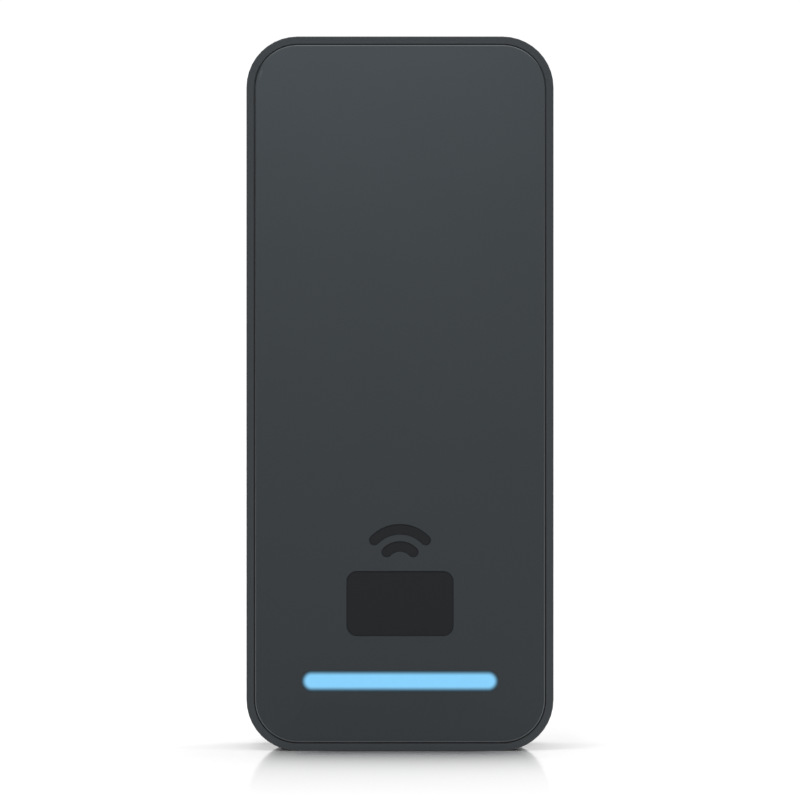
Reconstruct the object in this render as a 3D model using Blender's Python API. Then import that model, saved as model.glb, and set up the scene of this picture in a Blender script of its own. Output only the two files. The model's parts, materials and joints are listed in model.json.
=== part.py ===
"""Slim card reader for a door frame, hooked on its steel wall plate.

Metres, +Z up. The wall is the plane y = 0 and the reader's front faces -Y. The origin is the middle
of the wall plate's back face, level with the middle of the reader's height.
"""

import math

import bmesh
import bpy
from mathutils import Matrix, Vector

MM = 0.001

# Driving dimensions: the outline seen from the front, and the depth from the wall.
BODY_WIDTH = 50.0 * MM
BODY_HEIGHT = 116.3 * MM
BODY_DEPTH = 21.0 * MM
BODY_RADIUS = 8.3 * MM
RIM_WIDTH = 1.2 * MM
REVEAL = 0.2 * MM

# Gaps: between pieces that are glued, soldered or snapped on, and between pieces that move or lie free.
FIT = 0.1 * MM
CLEAR = 0.3 * MM

# How far a joined shape reaches into its host, and how far a cutter stands out past what it cuts.
EMBED = 0.4 * MM
PAST = 1.0 * MM

# Fineness: steps in a quarter of the outline and of a small corner, and the angle that counts as an edge.
ARC_STEPS = 10
CORNER_STEPS = 4
SHARP_ANGLE = math.radians(22)

# Housing: walls, and the planes of its steps along Y.
WALL = 2.2 * MM
REAR_RIM = 2.6 * MM
RIM_BACK_Y = -0.5 * MM
BACK_WALL = 1.4 * MM
BACK_WALL_Y = -4.4 * MM
BACK_WALL_INNER_Y = BACK_WALL_Y - BACK_WALL
REAR_CHAMFER = 0.6 * MM
EDGE_BREAK = 0.1 * MM
SEAL_GROOVE_INSETS = (1.0 * MM, 2.0 * MM)
SEAL_GROOVE_Y = -1.2 * MM

# Front cover, and the seal between it and the ledge in the housing.
FRONT_Y = -BODY_DEPTH
COVER_INSET = RIM_WIDTH + REVEAL
COVER_THICKNESS = 1.8 * MM
COVER_BACK_Y = FRONT_Y + COVER_THICKNESS
COVER_EDGE = 0.3 * MM
LEDGE_Y = COVER_BACK_Y + 0.6 * MM
FRONT_SEAL_INSETS = (1.45 * MM, 2.1 * MM)

# Hooks on the cover: (side, place along it), and their profile of (inset, y) points. Then the walls' slots.
SNAP_WIDTH = 5.0 * MM
SNAPS = [(side, z * MM) for side in ("right", "left") for z in (30, 0, -30)]
SNAPS += [(side, x * MM) for side in ("top", "bottom") for x in (-9, 9)]
HOOK_INSETS = (2.5 * MM, 3.5 * MM)
NIB_INSET = 2.0 * MM
HOOK_TIP_Y = -16.9 * MM
HOOK_LEAD = 0.7 * MM
NIB_Y = -17.5 * MM
NIB_FOOT_Y = -17.8 * MM
SNAP_SLOT_INSETS = (1.6 * MM, 3.0 * MM)
SNAP_SLOT_YS = (-18.1 * MM, -16.7 * MM)

# Light bar on the front, lit but for 0.4 mm at its edge. Behind it: lens flange, guide, shield and LEDs.
LIGHT_BAR_WIDTH = 32.2 * MM
LIGHT_BAR_HEIGHT = 3.5 * MM
LIGHT_BAR_Z = -46.8 * MM
LENS_RECESS = 0.05 * MM
LENS_FLANGE = (34.4 * MM, 5.2 * MM, 1.5 * MM)
LENS_FLANGE_THICKNESS = 0.4 * MM
LIGHT_GUIDE = (32.6 * MM, 3.8 * MM, 1.0 * MM)
LIGHT_GUIDE_THICKNESS = 1.0 * MM
LIGHT_SHIELD_OUTER = (36.4 * MM, 7.2 * MM, 1.8 * MM)
LIGHT_SHIELD_INNER = (33.0 * MM, 4.2 * MM, 1.2 * MM)
LED_COUNT = 6
LED_PITCH = 5.4 * MM
LED_WIDTH = 2.0 * MM
LED_HEIGHT = 1.6 * MM
LED_THICKNESS = 0.6 * MM

# Pictogram on the front: a card with two radio waves above it, on a thin carrier behind the cover.
CARD_WIDTH = 17.2 * MM
CARD_HEIGHT = 10.4 * MM
CARD_RADIUS = 1.6 * MM
CARD_Z = -34.2 * MM
WAVE_CENTRE_Z = -27.9 * MM
WAVE_RADII = (3.0 * MM, 5.8 * MM)
WAVE_STROKE = 1.5 * MM
WAVE_HALF_ANGLE = 46
EMBLEM_RECESS = 0.15 * MM
CARRIER = (20.4 * MM, 20.8 * MM, 2.0 * MM)
CARRIER_THICKNESS = 0.35 * MM

# Main board and its screws.
BOARD_FRONT_Y = -16.6 * MM
BOARD_BACK_Y = -15.4 * MM
BOARD_INSET = 3.9 * MM
BOARD_SCREW_X = 17.0 * MM
BOARD_SCREW_HEIGHTS = (50.0 * MM, -41.0 * MM)
BOARD_HOLE_RADIUS = 1.3 * MM
BOSS_RADIUS = 2.5 * MM
PILOT_END_Y = -7.0 * MM
BOARD_HEAD_RADIUS = 1.9 * MM
BOARD_HEAD_EDGE = (0.5 * MM, 0.4 * MM)
BOARD_HEAD_HEIGHT = 1.2 * MM
BOARD_SHANK_RADIUS = 1.0 * MM
BOARD_SHANK_END_Y = -9.6 * MM
BOARD_TIP = (0.5 * MM, 0.6 * MM)
CROSS_HALF_LENGTH = 0.9 * MM
CROSS_HALF_WIDTH = 0.25 * MM
CROSS_DEPTH = 0.6 * MM

# Antenna board in front of the main board, on four stakes of the cover. Its coil, ferrite and connector.
ANTENNA_FRONT_Y = -18.2 * MM
ANTENNA_BACK_Y = -17.4 * MM
ANTENNA_WIDTH = 38.0 * MM
ANTENNA_HEIGHT = 83.5 * MM
ANTENNA_RADIUS = 3.0 * MM
ANTENNA_Z = 3.75 * MM
STAKE_X = 17.2 * MM
STAKE_Z = 39.9 * MM
STAKE_RADIUS = 0.7 * MM
STAKE_PROUD = 0.2 * MM
COIL_WIDTH = 33.0 * MM
COIL_HEIGHT = 77.0 * MM
COIL_RADIUS = 6.0 * MM
COIL_BEND_MINIMUM = 0.8 * MM
COIL_PITCH = 1.8 * MM
COIL_TURNS = 4
COIL_STEP_X = -4.0 * MM
COIL_TRACK_WIDTH = 0.9 * MM
COIL_TRACK_THICKNESS = 0.15 * MM
FERRITE = (31.0 * MM, 72.0 * MM, 2.0 * MM)
FERRITE_Z = 2.0 * MM
FERRITE_THICKNESS = 0.3 * MM
CONNECTOR_WIDTH = 7.0 * MM
CONNECTOR_HEIGHT = 3.0 * MM
CONNECTOR_Z = 42.5 * MM

# Blocks on the back of the main board: slot, centre x and z, width, height, thickness and edge.
COMPONENTS = {
    "processor": ("chip", -17.0 * MM, -8.0 * MM, 7.2 * MM, 7.2 * MM, 1.0 * MM, 0.15 * MM),
    "memory_chip": ("chip", -17.0 * MM, -21.0 * MM, 6.0 * MM, 5.0 * MM, 1.0 * MM, 0.15 * MM),
    "crystal": ("tin", -17.0 * MM, -30.0 * MM, 3.2 * MM, 2.5 * MM, 0.8 * MM, 0.15 * MM),
    "nfc_controller": ("chip", 17.0 * MM, -30.0 * MM, 5.0 * MM, 5.0 * MM, 0.9 * MM, 0.15 * MM),
    "radio_module": ("tin", 17.0 * MM, -11.0 * MM, 7.4 * MM, 12.0 * MM, 2.2 * MM, 0.15 * MM),
    "lan_transformer": ("chip", 0.0, 27.0 * MM, 12.7 * MM, 9.5 * MM, 5.6 * MM, 0.3 * MM),
    "power_inductor": ("ferrite", -15.5 * MM, 41.0 * MM, 7.2 * MM, 7.2 * MM, 4.4 * MM, 0.8 * MM),
    "power_transformer": ("ferrite", -4.0 * MM, 42.0 * MM, 12.5 * MM, 12.0 * MM, 5.0 * MM, 0.3 * MM),
}
WINDING_HALF_SIZE = 4.5 * MM
WINDING_DEPTHS = (2.0 * MM, 8.4 * MM)
CAPACITOR_X = 7.0 * MM
CAPACITOR_HEIGHTS = (39.6 * MM, 46.8 * MM)
CAPACITOR_PROFILE = (
    (0.0, 3.1 * MM),
    (1.2 * MM, 3.15 * MM),
    (1.6 * MM, 2.95 * MM),
    (2.0 * MM, 3.15 * MM),
    (7.5 * MM, 3.15 * MM),
    (7.8 * MM, 2.85 * MM),
)
BUZZER_X = 15.5 * MM
BUZZER_Z = 40.5 * MM
BUZZER_RADIUS = 4.8 * MM
BUZZER_HEIGHT = 5.0 * MM
BUZZER_EDGE = 0.4 * MM
BUZZER_PORT = (0.9 * MM, 1.2 * MM)
VENT_RADIUS = 4.0 * MM
VENT_THICKNESS = 0.3 * MM
SOUND_HOLE_RADIUS = 0.6 * MM
SOUND_RING_RADIUS = 2.2 * MM
SOUND_RING_HOLES = 6

# Well for the network plug at the back, and the jack that opens down into it.
WELL_HALF_WIDTH = 11.0 * MM
WELL_FLOOR_Y = -13.5 * MM
WELL_TOP_Z = 18.0 * MM
WELL_WALL = 1.4 * MM
BOTTOM_WALL = 2.4 * MM
WELL_BOTTOM_Z = -BODY_HEIGHT / 2 + BOTTOM_WALL
JACK_HALF_WIDTH = 8.0 * MM
JACK_HEIGHT = 15.5 * MM
JACK_REAR_Y = -3.9 * MM
JACK_SEAL_OUTER = (18.2 * MM, 17.9 * MM, 0.6 * MM)
JACK_SEAL_INNER = (16.2 * MM, 15.9 * MM, 0.2 * MM)
SHIELD_SHEET = 0.3 * MM
SOCKET_HALF_WIDTH = 5.95 * MM
SOCKET_YS = (-13.6 * MM, -6.9 * MM)
SOCKET_TOP_Z = 12.5 * MM
LATCH_HALF_WIDTH = 3.1 * MM
LATCH_YS = (-7.5 * MM, -5.3 * MM)
LATCH_TOP_Z = 11.0 * MM
CONTACT_COUNT = 8
CONTACT_PITCH = 1.02 * MM
CONTACT_WIDTH = 0.46 * MM
CONTACT_BAR = ((-4.3 * MM, -13.3 * MM, 11.0 * MM), (4.3 * MM, -12.5 * MM, 12.1 * MM))
CONTACT_PROFILE = (
    (-13.1 * MM, 11.5 * MM),
    (-13.1 * MM, 11.2 * MM),
    (-11.75 * MM, 3.2 * MM),
    (-12.3 * MM, 2.2 * MM),
    (-12.0 * MM, 2.1 * MM),
    (-11.4 * MM, 3.2 * MM),
    (-12.7 * MM, 11.5 * MM),
)

# Wall plate: pressed steel, with two joggled tongues that the housing hangs on and a tab for the screw.
PLATE_THICKNESS = 1.0 * MM
PLATE_HALF_WIDTH = 21.6 * MM
PLATE_TOP_Z = 50.0 * MM
PLATE_BOTTOM_Z = -55.0 * MM
PLATE_LOW_RADIUS = 4.9 * MM
PLATE_HIGH_RADIUS = 2.0 * MM
TONGUE_X = 12.0 * MM
TONGUE_WIDTH = 8.0 * MM
TONGUE_Y = -3.6 * MM
TONGUE_ROOT_Z = 46.0 * MM
TONGUE_BENDS_BACK = (50.3 * MM, 52.9 * MM)
TONGUE_BENDS_FRONT = (49.7 * MM, 52.3 * MM)
TONGUE_TIP_Z = 56.4 * MM
TONGUE_TIP_EDGE = 0.3 * MM
TONGUE_SHY = 0.05 * MM
WINDOW_HALF_WIDTH = 11.0 * MM
WINDOW_TOP_Z = -3.0 * MM
WINDOW_BOTTOM_Z = -36.0 * MM
WINDOW_RADIUS = 2.0 * MM
FIXING_Z = 41.65 * MM
FIXING_WIDTH = 4.4 * MM
LEVEL_SLOT_LENGTH = 9.0 * MM
PLUMB_SLOT_LENGTH = 8.0 * MM
ARROW_TIP_Z = 24.0 * MM
ARROW_HEIGHT = 3.6 * MM
ARROW_HALF_WIDTH = 2.4 * MM
TAB_HALF_WIDTH = 6.0 * MM
TAB_FRONT_Y = -9.0 * MM
TAB_BACK_Y = -0.2 * MM
COLLAR_RADIUS = 2.6 * MM
COLLAR_TOP_Z = PLATE_BOTTOM_Z + 2.4 * MM

# The line that the reader swings about, where its top wall hooks over the tongues, and the wall's pockets.
HINGE = Vector((0, -3.0 * MM, 56.6 * MM))
POCKET_SIDE_GAP = 0.4 * MM
POCKET_YS = (-4.6 * MM, -2.35 * MM)
POCKET_ZS = (55.0 * MM, 56.95 * MM)

# Seal in the rear rim, and the label on the back wall.
WALL_SEAL_INSETS = (1.12 * MM, 1.88 * MM)
WALL_SEAL_YS = (-1.1 * MM, -0.1 * MM)
DRAIN_HALF_WIDTH = 4.6 * MM
LABEL = (15.0 * MM, 20.0 * MM, 1.0 * MM)
LABEL_Z = 36.0 * MM
LABEL_THICKNESS = 0.15 * MM

# Security screw in the bottom edge, the ring that keeps it on the tab, and the slots it leaves by.
SCREW_Y = -5.5 * MM
SCREW_HEAD_RADIUS = 2.8 * MM
SCREW_SHANK_RADIUS = 1.45 * MM
SCREW_HEAD_LOW_Z = -58.05 * MM
SCREW_HEAD_TOP_Z = -56.95 * MM
SCREW_HEAD_EDGE = 0.2 * MM
SCREW_END_Z = -49.4 * MM
SCREW_END_EDGE = 0.4 * MM
LOBE_COUNT = 6
LOBE_STEPS = 36
LOBE_RADIUS = 1.3 * MM
LOBE_RISE = 0.22 * MM
LOBE_DEPTH = 0.8 * MM
PIN_RADIUS = 0.35 * MM
PIN_SHY = 0.1 * MM
PIN_EMBED = 0.2 * MM
KEEPER_RADIUS = 2.7 * MM
KEEPER_ZS = (-50.6 * MM, -50.0 * MM)
SHANK_SLOT_RADIUS = 1.8 * MM
SHANK_SLOT_TOP_Z = -55.0 * MM
HEAD_SLOT_RADIUS = 3.2 * MM
HEAD_SLOT_TOP_Z = -56.65 * MM

# Two sprung plungers in the back wall: the reset button, and the tamper plunger on the wall plate.
PLUNGER_X = 16.0 * MM
PLUNGER_Z = 28.0 * MM
SLEEVE_FRONT_Y = -12.0 * MM
SLEEVE_BORE = 2.6 * MM
SLEEVE_RADIUS = 3.7 * MM
ROD_RADIUS = 1.5 * MM
ROD_EDGE = 0.4 * MM
FOOT_RADIUS = 0.9 * MM
FOOT_EDGE = 0.2 * MM
FLANGE_RADIUS = 2.3 * MM
FLANGE_THICKNESS = 0.8 * MM
RESET_FLANGE_Y = BACK_WALL_INNER_Y - CLEAR
TAMPER_FLANGE_Y = -8.3 * MM
RETAINER_THICKNESS = 0.5 * MM
SPRING_SEAT_Y = SLEEVE_FRONT_Y + RETAINER_THICKNESS + FIT
SPRING_TURNS = 4.2
SPRING_STEPS = 14
SPRING_RADIUS = 1.6 * MM
SPRING_WIRE = 0.32 * MM
SWITCH_SIZE = (6.0 * MM, 6.0 * MM, 1.6 * MM)
SWITCH_EDGE = 0.15 * MM
SWITCH_HOLE = (1.25 * MM, -14.9 * MM)
STEM_TOP_Y = -13.1 * MM
STEM_RADIUS = 1.1 * MM
STEM_LENGTH = 0.9 * MM
TAMPER_STEM_PRESSED = 0.25 * MM


# ---------------------------------------------------------------- materials


def linear(level):
    """A screen colour level from 0 to 255 as the linear value that a shader takes."""
    share = level / 255
    return share / 12.92 if share <= 0.04045 else ((share + 0.055) / 1.055) ** 2.4


def material(name, colour, roughness, metallic=0.0, emission=0.0):
    made = bpy.data.materials.new(name)
    made.use_nodes = True
    shader = made.node_tree.nodes["Principled BSDF"]
    shade = (*(linear(level) for level in colour), 1.0)
    shader.inputs["Base Color"].default_value = shade
    shader.inputs["Roughness"].default_value = roughness
    shader.inputs["Metallic"].default_value = metallic
    shader.inputs["Emission Color"].default_value = shade
    shader.inputs["Emission Strength"].default_value = emission
    made.diffuse_color = shade
    return made


def make_materials():
    return {
        "shell": material("shell", (60, 64, 67), 0.5),
        "cover": material("cover", (62, 66, 69), 0.42),
        "emblem": material("emblem", (41, 42, 44), 0.35),
        "lens": material("lens", (138, 210, 255), 0.4, emission=1.0),
        "clear": material("clear", (225, 232, 236), 0.1),
        "white": material("white", (232, 232, 228), 0.6),
        "rubber": material("rubber", (34, 34, 35), 0.85),
        "board": material("board", (22, 62, 40), 0.45),
        "copper": material("copper", (196, 122, 74), 0.3, metallic=1.0),
        "ferrite": material("ferrite", (52, 50, 50), 0.6),
        "chip": material("chip", (30, 31, 33), 0.55),
        "plastic": material("plastic", (24, 25, 27), 0.5),
        "tin": material("tin", (196, 198, 200), 0.28, metallic=1.0),
        "gold": material("gold", (214, 172, 92), 0.25, metallic=1.0),
        "steel": material("steel", (150, 152, 155), 0.35, metallic=1.0),
        "plate": material("plate", (126, 129, 132), 0.42, metallic=1.0),
        "spring": material("spring", (168, 170, 173), 0.25, metallic=1.0),
        "label": material("label", (205, 207, 208), 0.45),
    }


# ---------------------------------------------------------------- outlines and solids


def arc(centre, radius, start, end, steps):
    """Points along an arc, angles in degrees, both ends included."""
    turns = (start + (end - start) * i / steps for i in range(steps + 1))
    angles = [math.radians(turn) for turn in turns]
    return [(centre[0] + radius * math.cos(a), centre[1] + radius * math.sin(a)) for a in angles]


def rounded_rectangle(width, height, radius, centre=(0, 0), steps=ARC_STEPS):
    points = []
    for quarter, (side, end) in enumerate(((1, 1), (-1, 1), (-1, -1), (1, -1))):
        middle = (centre[0] + side * (width / 2 - radius), centre[1] + end * (height / 2 - radius))
        points += arc(middle, radius, 90 * quarter, 90 * quarter + 90, steps)
    return points


def stadium(width, height, centre=(0, 0), steps=8):
    """A slot outline whose round ends are on its longer axis, which is the first one."""
    half = (width - height) / 2
    right = arc((centre[0] + half, centre[1]), height / 2, -90, 90, steps)
    return right + arc((centre[0] - half, centre[1]), height / 2, 90, 270, steps)


def circle(radius, centre=(0, 0), steps=20):
    return arc(centre, radius, 0, 360 * (steps - 1) / steps, steps - 1)


def rectangle(low, high):
    return [low, (high[0], low[1]), high, (low[0], high[1])]


def arc_band(centre, radius, stroke, half_angle, steps=14):
    """A stroke along an arc about the upward direction, with round ends."""
    start, end = 90 - half_angle, 90 + half_angle
    outer = arc(centre, radius + stroke / 2, start, end, steps)
    inner = arc(centre, radius - stroke / 2, end, start, steps)
    tips = [arc(centre, radius, angle, angle, 1)[0] for angle in (end, start)]
    left = arc(tips[0], stroke / 2, end, end + 180, 6)[1:-1]
    right = arc(tips[1], stroke / 2, start - 180, start, 6)[1:-1]
    return outer + left + inner + right


def body_outline(inset):
    """The reader's outline, moved in by inset."""
    return rounded_rectangle(BODY_WIDTH - 2 * inset, BODY_HEIGHT - 2 * inset, BODY_RADIUS - inset)


def along(axis, first, second, depth):
    """The point at depth along axis, with the plane's two coordinates in X, Y, Z order."""
    orders = {"X": (depth, first, second), "Y": (first, depth, second), "Z": (first, second, depth)}
    return Vector(orders[axis])


def link(name, mesh, finish=None):
    if finish:
        mesh.materials.append(finish)
    made = bpy.data.objects.new(name, mesh)
    bpy.context.scene.collection.objects.link(made)
    return made


def loft(name, loops, finish=None, closed=False):
    """A solid skinned over equal loops of points. closed joins the last loop to the first, as in a ring."""
    shape = bmesh.new()
    rows = [[shape.verts.new(point) for point in loop] for loop in loops]
    pairs = list(zip(rows, rows[1:]))
    if closed:
        pairs.append((rows[-1], rows[0]))
    for low, high in pairs:
        for i in range(len(low)):
            shape.faces.new((low[i - 1], low[i], high[i], high[i - 1]))
    if not closed:
        shape.faces.new(rows[0])
        shape.faces.new(rows[-1])
    bmesh.ops.recalc_face_normals(shape, faces=shape.faces)
    mesh = bpy.data.meshes.new(name)
    shape.to_mesh(mesh)
    shape.free()
    mesh.shade_smooth()
    mesh.set_sharp_from_angle(angle=SHARP_ANGLE)
    return link(name, mesh, finish)


def prism(name, axis, outline, low, high, finish=None):
    return loft(name, [[along(axis, u, v, depth) for u, v in outline] for depth in (low, high)], finish)


def turned(name, axis, centre, profile, finish=None, steps=20):
    """A round solid about an axis through centre. profile is (depth, radius) from one end to the other."""
    sections = [(depth, circle(radius, centre, steps)) for depth, radius in profile]
    return loft(name, [[along(axis, u, v, depth) for u, v in line] for depth, line in sections], finish)


def ring(name, axis, outer, inner, low, high, finish=None):
    """A straight-walled ring between two outlines with as many points as each other."""
    walls = ((outer, low), (outer, high), (inner, high), (inner, low))
    loops = [[along(axis, u, v, depth) for u, v in line] for line, depth in walls]
    return loft(name, loops, finish, closed=True)


def body_stack(name, sections, finish=None):
    """A solid with the reader's outline, through (y, inset) sections."""
    loops = [[along("Y", u, v, y) for u, v in body_outline(inset)] for y, inset in sections]
    return loft(name, loops, finish)


def box(name, low, high, finish=None):
    return prism(name, "Z", rectangle(low[:2], high[:2]), low[2], high[2], finish)


def combine(target, tool, operation):
    tool.hide_render = True
    tool.display_type = "WIRE"
    step = target.modifiers.new(tool.name, "BOOLEAN")
    step.operation = operation
    step.object = tool


def cut(target, *tools):
    for tool in tools:
        combine(target, tool, "DIFFERENCE")


def join(target, *tools):
    for tool in tools:
        combine(target, tool, "UNION")


def set_origin(obj, point):
    """Moves an object's origin to point and leaves its shape where it is."""
    obj.data.transform(Matrix.Translation(-Vector(point)))
    obj.location = point


def hang(child, parent):
    """Parents child and leaves it where it is. Nothing here is turned or scaled."""
    child.parent = parent
    child.matrix_parent_inverse = Matrix.Translation(-parent.location)


def bevel(target, width):
    step = target.modifiers.new("bevel", "BEVEL")
    step.width = width
    step.segments = 1
    step.limit_method = "ANGLE"


# ---------------------------------------------------------------- snaps that hold the cover in the housing


def on_side(side, inset, y, position):
    """A point inset from one side of the outline, at a position along that side."""
    if side in ("left", "right"):
        sign = 1 if side == "right" else -1
        return Vector((sign * (BODY_WIDTH / 2 - inset), y, position))
    sign = 1 if side == "top" else -1
    return Vector((position, y, sign * (BODY_HEIGHT / 2 - inset)))


def side_block(name, side, position, width, profile):
    """A block of that width on one side, with a profile of (inset, y) points."""
    ends = (position - width / 2, position + width / 2)
    return loft(name, [[on_side(side, inset, y, end) for inset, y in profile] for end in ends])


def snap_hooks():
    """Tongues with a nib, which stand behind the cover."""
    root_y = COVER_BACK_Y - EMBED
    outer, inner = HOOK_INSETS
    profile = (
        (inner, root_y),
        (inner, HOOK_TIP_Y),
        (inner - HOOK_LEAD, HOOK_TIP_Y),
        (NIB_INSET, NIB_Y),
        (outer, NIB_FOOT_Y),
        (outer, root_y),
    )
    return [side_block(f"hook_{i}", side, at, SNAP_WIDTH, profile) for i, (side, at) in enumerate(SNAPS)]


def snap_slots():
    """The slots in the housing's walls that the nibs catch in."""
    outer, inner = SNAP_SLOT_INSETS
    low, high = SNAP_SLOT_YS
    profile = ((inner, low), (outer, low), (outer, high), (inner, high))
    width = SNAP_WIDTH + 2 * CLEAR
    return [side_block(f"slot_{i}", side, at, width, profile) for i, (side, at) in enumerate(SNAPS)]


# ---------------------------------------------------------------- housing and cover


def rod(name, centre, radius, low, high, steps=20):
    """A plain round bar along Y."""
    return turned(name, "Y", centre, ((low, radius), (high, radius)), steps=steps)


def screw_slot(name, radius, top):
    """A vertical slot round the security screw, open below and at the back."""
    outline = arc((0, SCREW_Y), radius, 180, 360, 12) + [(radius, PAST), (-radius, PAST)]
    return prism(name, "Z", outline, -BODY_HEIGHT / 2 - PAST, top)


def board_screw_centres():
    return [(side * BOARD_SCREW_X, z) for z in BOARD_SCREW_HEIGHTS for side in (-1, 1)]


def stake_centres():
    return [(side * STAKE_X, ANTENNA_Z + end * STAKE_Z) for side in (-1, 1) for end in (-1, 1)]


def add_bosses(housing):
    front = BOARD_BACK_Y + CLEAR
    for i, centre in enumerate(board_screw_centres()):
        join(housing, rod(f"boss_{i}", centre, BOSS_RADIUS, front, BACK_WALL_INNER_Y + EMBED))
        cut(housing, rod(f"pilot_{i}", centre, BOARD_HOLE_RADIUS, front - PAST, PILOT_END_Y, 12))


def add_plunger_sleeves(housing):
    hole_radius = ROD_RADIUS + CLEAR
    for side in (-1, 1):
        centre = (side * PLUNGER_X, PLUNGER_Z)
        join(housing, rod(f"sleeve_{side}", centre, SLEEVE_RADIUS, SLEEVE_FRONT_Y, BACK_WALL_INNER_Y + EMBED))
        cut(housing, rod(f"chamber_{side}", centre, SLEEVE_BORE, SLEEVE_FRONT_Y - PAST, BACK_WALL_INNER_Y))
        cut(housing, rod(f"hole_{side}", centre, hole_radius, BACK_WALL_INNER_Y - PAST, BACK_WALL_Y + PAST))


def add_well(housing):
    outer = WELL_HALF_WIDTH + WELL_WALL
    floor = WELL_FLOOR_Y - WELL_WALL
    block_low = (-outer, floor, WELL_BOTTOM_Z - PAST)
    block_high = (outer, BACK_WALL_INNER_Y + EMBED, WELL_TOP_Z + WELL_WALL)
    void_low = (-WELL_HALF_WIDTH, WELL_FLOOR_Y, WELL_BOTTOM_Z)
    void_high = (WELL_HALF_WIDTH, PAST, WELL_TOP_Z)
    half_width = JACK_SEAL_OUTER[0] / 2 + FIT
    half_height = JACK_SEAL_OUTER[1] / 2 + FIT
    opening_low = (-half_width, floor - PAST, JACK_HEIGHT / 2 - half_height)
    opening_high = (half_width, WELL_FLOOR_Y + PAST, JACK_HEIGHT / 2 + half_height)
    join(housing, box("well_block", block_low, block_high))
    cut(housing, box("well_void", void_low, void_high), box("jack_opening", opening_low, opening_high))


def sound_holes():
    low, high = BACK_WALL_INNER_Y - PAST, BACK_WALL_Y + PAST
    middle = (BUZZER_X, BUZZER_Z)
    centres = [middle, *circle(SOUND_RING_RADIUS, middle, SOUND_RING_HOLES)]
    return [rod(f"sound_hole_{i}", at, SOUND_HOLE_RADIUS, low, high, 10) for i, at in enumerate(centres)]


def tongue_pockets():
    half = TONGUE_WIDTH / 2 + POCKET_SIDE_GAP
    pockets = []
    for side in (-1, 1):
        low = (side * TONGUE_X - half, POCKET_YS[0], POCKET_ZS[0])
        high = (side * TONGUE_X + half, POCKET_YS[1], POCKET_ZS[1])
        pockets.append(box(f"pocket_{side}", low, high))
    return pockets


def make_housing(finish):
    """The tub: the rim round the front, the back wall with the plug well, and the recess over the plate."""
    sections = (
        (FRONT_Y, EDGE_BREAK),
        (FRONT_Y + EDGE_BREAK, 0),
        (RIM_BACK_Y - REAR_CHAMFER, 0),
        (RIM_BACK_Y, REAR_CHAMFER),
    )
    housing = body_stack("housing", sections, finish)
    rebate = body_stack("rebate", ((FRONT_Y - PAST, RIM_WIDTH), (LEDGE_Y, RIM_WIDTH)))
    cavity = body_stack("cavity", ((FRONT_Y, WALL), (BACK_WALL_INNER_Y, WALL)))
    recess = body_stack("recess", ((BACK_WALL_Y, REAR_RIM), (PAST, REAR_RIM)))
    outer, inner = (body_outline(inset) for inset in SEAL_GROOVE_INSETS)
    groove = ring("groove", "Y", outer, inner, SEAL_GROOVE_Y, PAST)
    cut(housing, rebate, cavity, recess, groove)
    add_well(housing)
    add_bosses(housing)
    add_plunger_sleeves(housing)
    cut(housing, *snap_slots(), *tongue_pockets(), *sound_holes())
    cut(housing, screw_slot("shank_slot", SHANK_SLOT_RADIUS, SHANK_SLOT_TOP_Z))
    cut(housing, screw_slot("head_slot", HEAD_SLOT_RADIUS, HEAD_SLOT_TOP_Z))


def emblem_outlines(grow=0.0):
    """The pictogram of a card with two radio waves above it, its strokes widened by grow on each side."""
    width, height = CARD_WIDTH + 2 * grow, CARD_HEIGHT + 2 * grow
    card = rounded_rectangle(width, height, CARD_RADIUS + grow, (0, CARD_Z), 6)
    stroke = WAVE_STROKE + 2 * grow
    waves = [arc_band((0, WAVE_CENTRE_Z), radius, stroke, WAVE_HALF_ANGLE) for radius in WAVE_RADII]
    return [card, *waves]


def make_front_cover(finish):
    round_edge = COVER_EDGE * (1 - math.sqrt(0.5))
    sections = (
        (FRONT_Y, COVER_INSET + COVER_EDGE),
        (FRONT_Y + round_edge, COVER_INSET + round_edge),
        (FRONT_Y + COVER_EDGE, COVER_INSET),
        (COVER_BACK_Y, COVER_INSET),
    )
    cover = body_stack("front_cover", sections, finish)
    join(cover, *snap_hooks())
    stake_ends = (COVER_BACK_Y - EMBED, ANTENNA_BACK_Y + STAKE_PROUD)
    for i, centre in enumerate(stake_centres()):
        join(cover, rod(f"stake_{i}", centre, STAKE_RADIUS, *stake_ends, 10))
    slot = stadium(LIGHT_BAR_WIDTH + 2 * FIT, LIGHT_BAR_HEIGHT + 2 * FIT, (0, LIGHT_BAR_Z))
    cut(cover, prism("light_slot", "Y", slot, FRONT_Y - PAST, COVER_BACK_Y + PAST))
    for i, outline in enumerate(emblem_outlines(FIT)):
        cut(cover, prism(f"emblem_slot_{i}", "Y", outline, FRONT_Y - PAST, COVER_BACK_Y + PAST))


def make_front_seal(finish):
    outer, inner = (body_outline(inset) for inset in FRONT_SEAL_INSETS)
    ring("front_seal", "Y", outer, inner, COVER_BACK_Y + FIT, LEDGE_Y - FIT, finish)


def make_emblem_insert(finish):
    """One moulding: a thin carrier behind the cover, with the pictogram standing on it."""
    back = COVER_BACK_Y + FIT
    low = CARD_Z - CARD_HEIGHT / 2
    high = WAVE_CENTRE_Z + WAVE_RADII[1] + WAVE_STROKE / 2
    carrier = rounded_rectangle(*CARRIER, (0, (low + high) / 2), CORNER_STEPS)
    insert = prism("emblem_insert", "Y", carrier, back, back + CARRIER_THICKNESS, finish)
    foot = back + CARRIER_THICKNESS / 2
    for i, outline in enumerate(emblem_outlines()):
        join(insert, prism(f"emblem_{i}", "Y", outline, FRONT_Y + EMBLEM_RECESS, foot))


# ---------------------------------------------------------------- light bar


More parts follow.
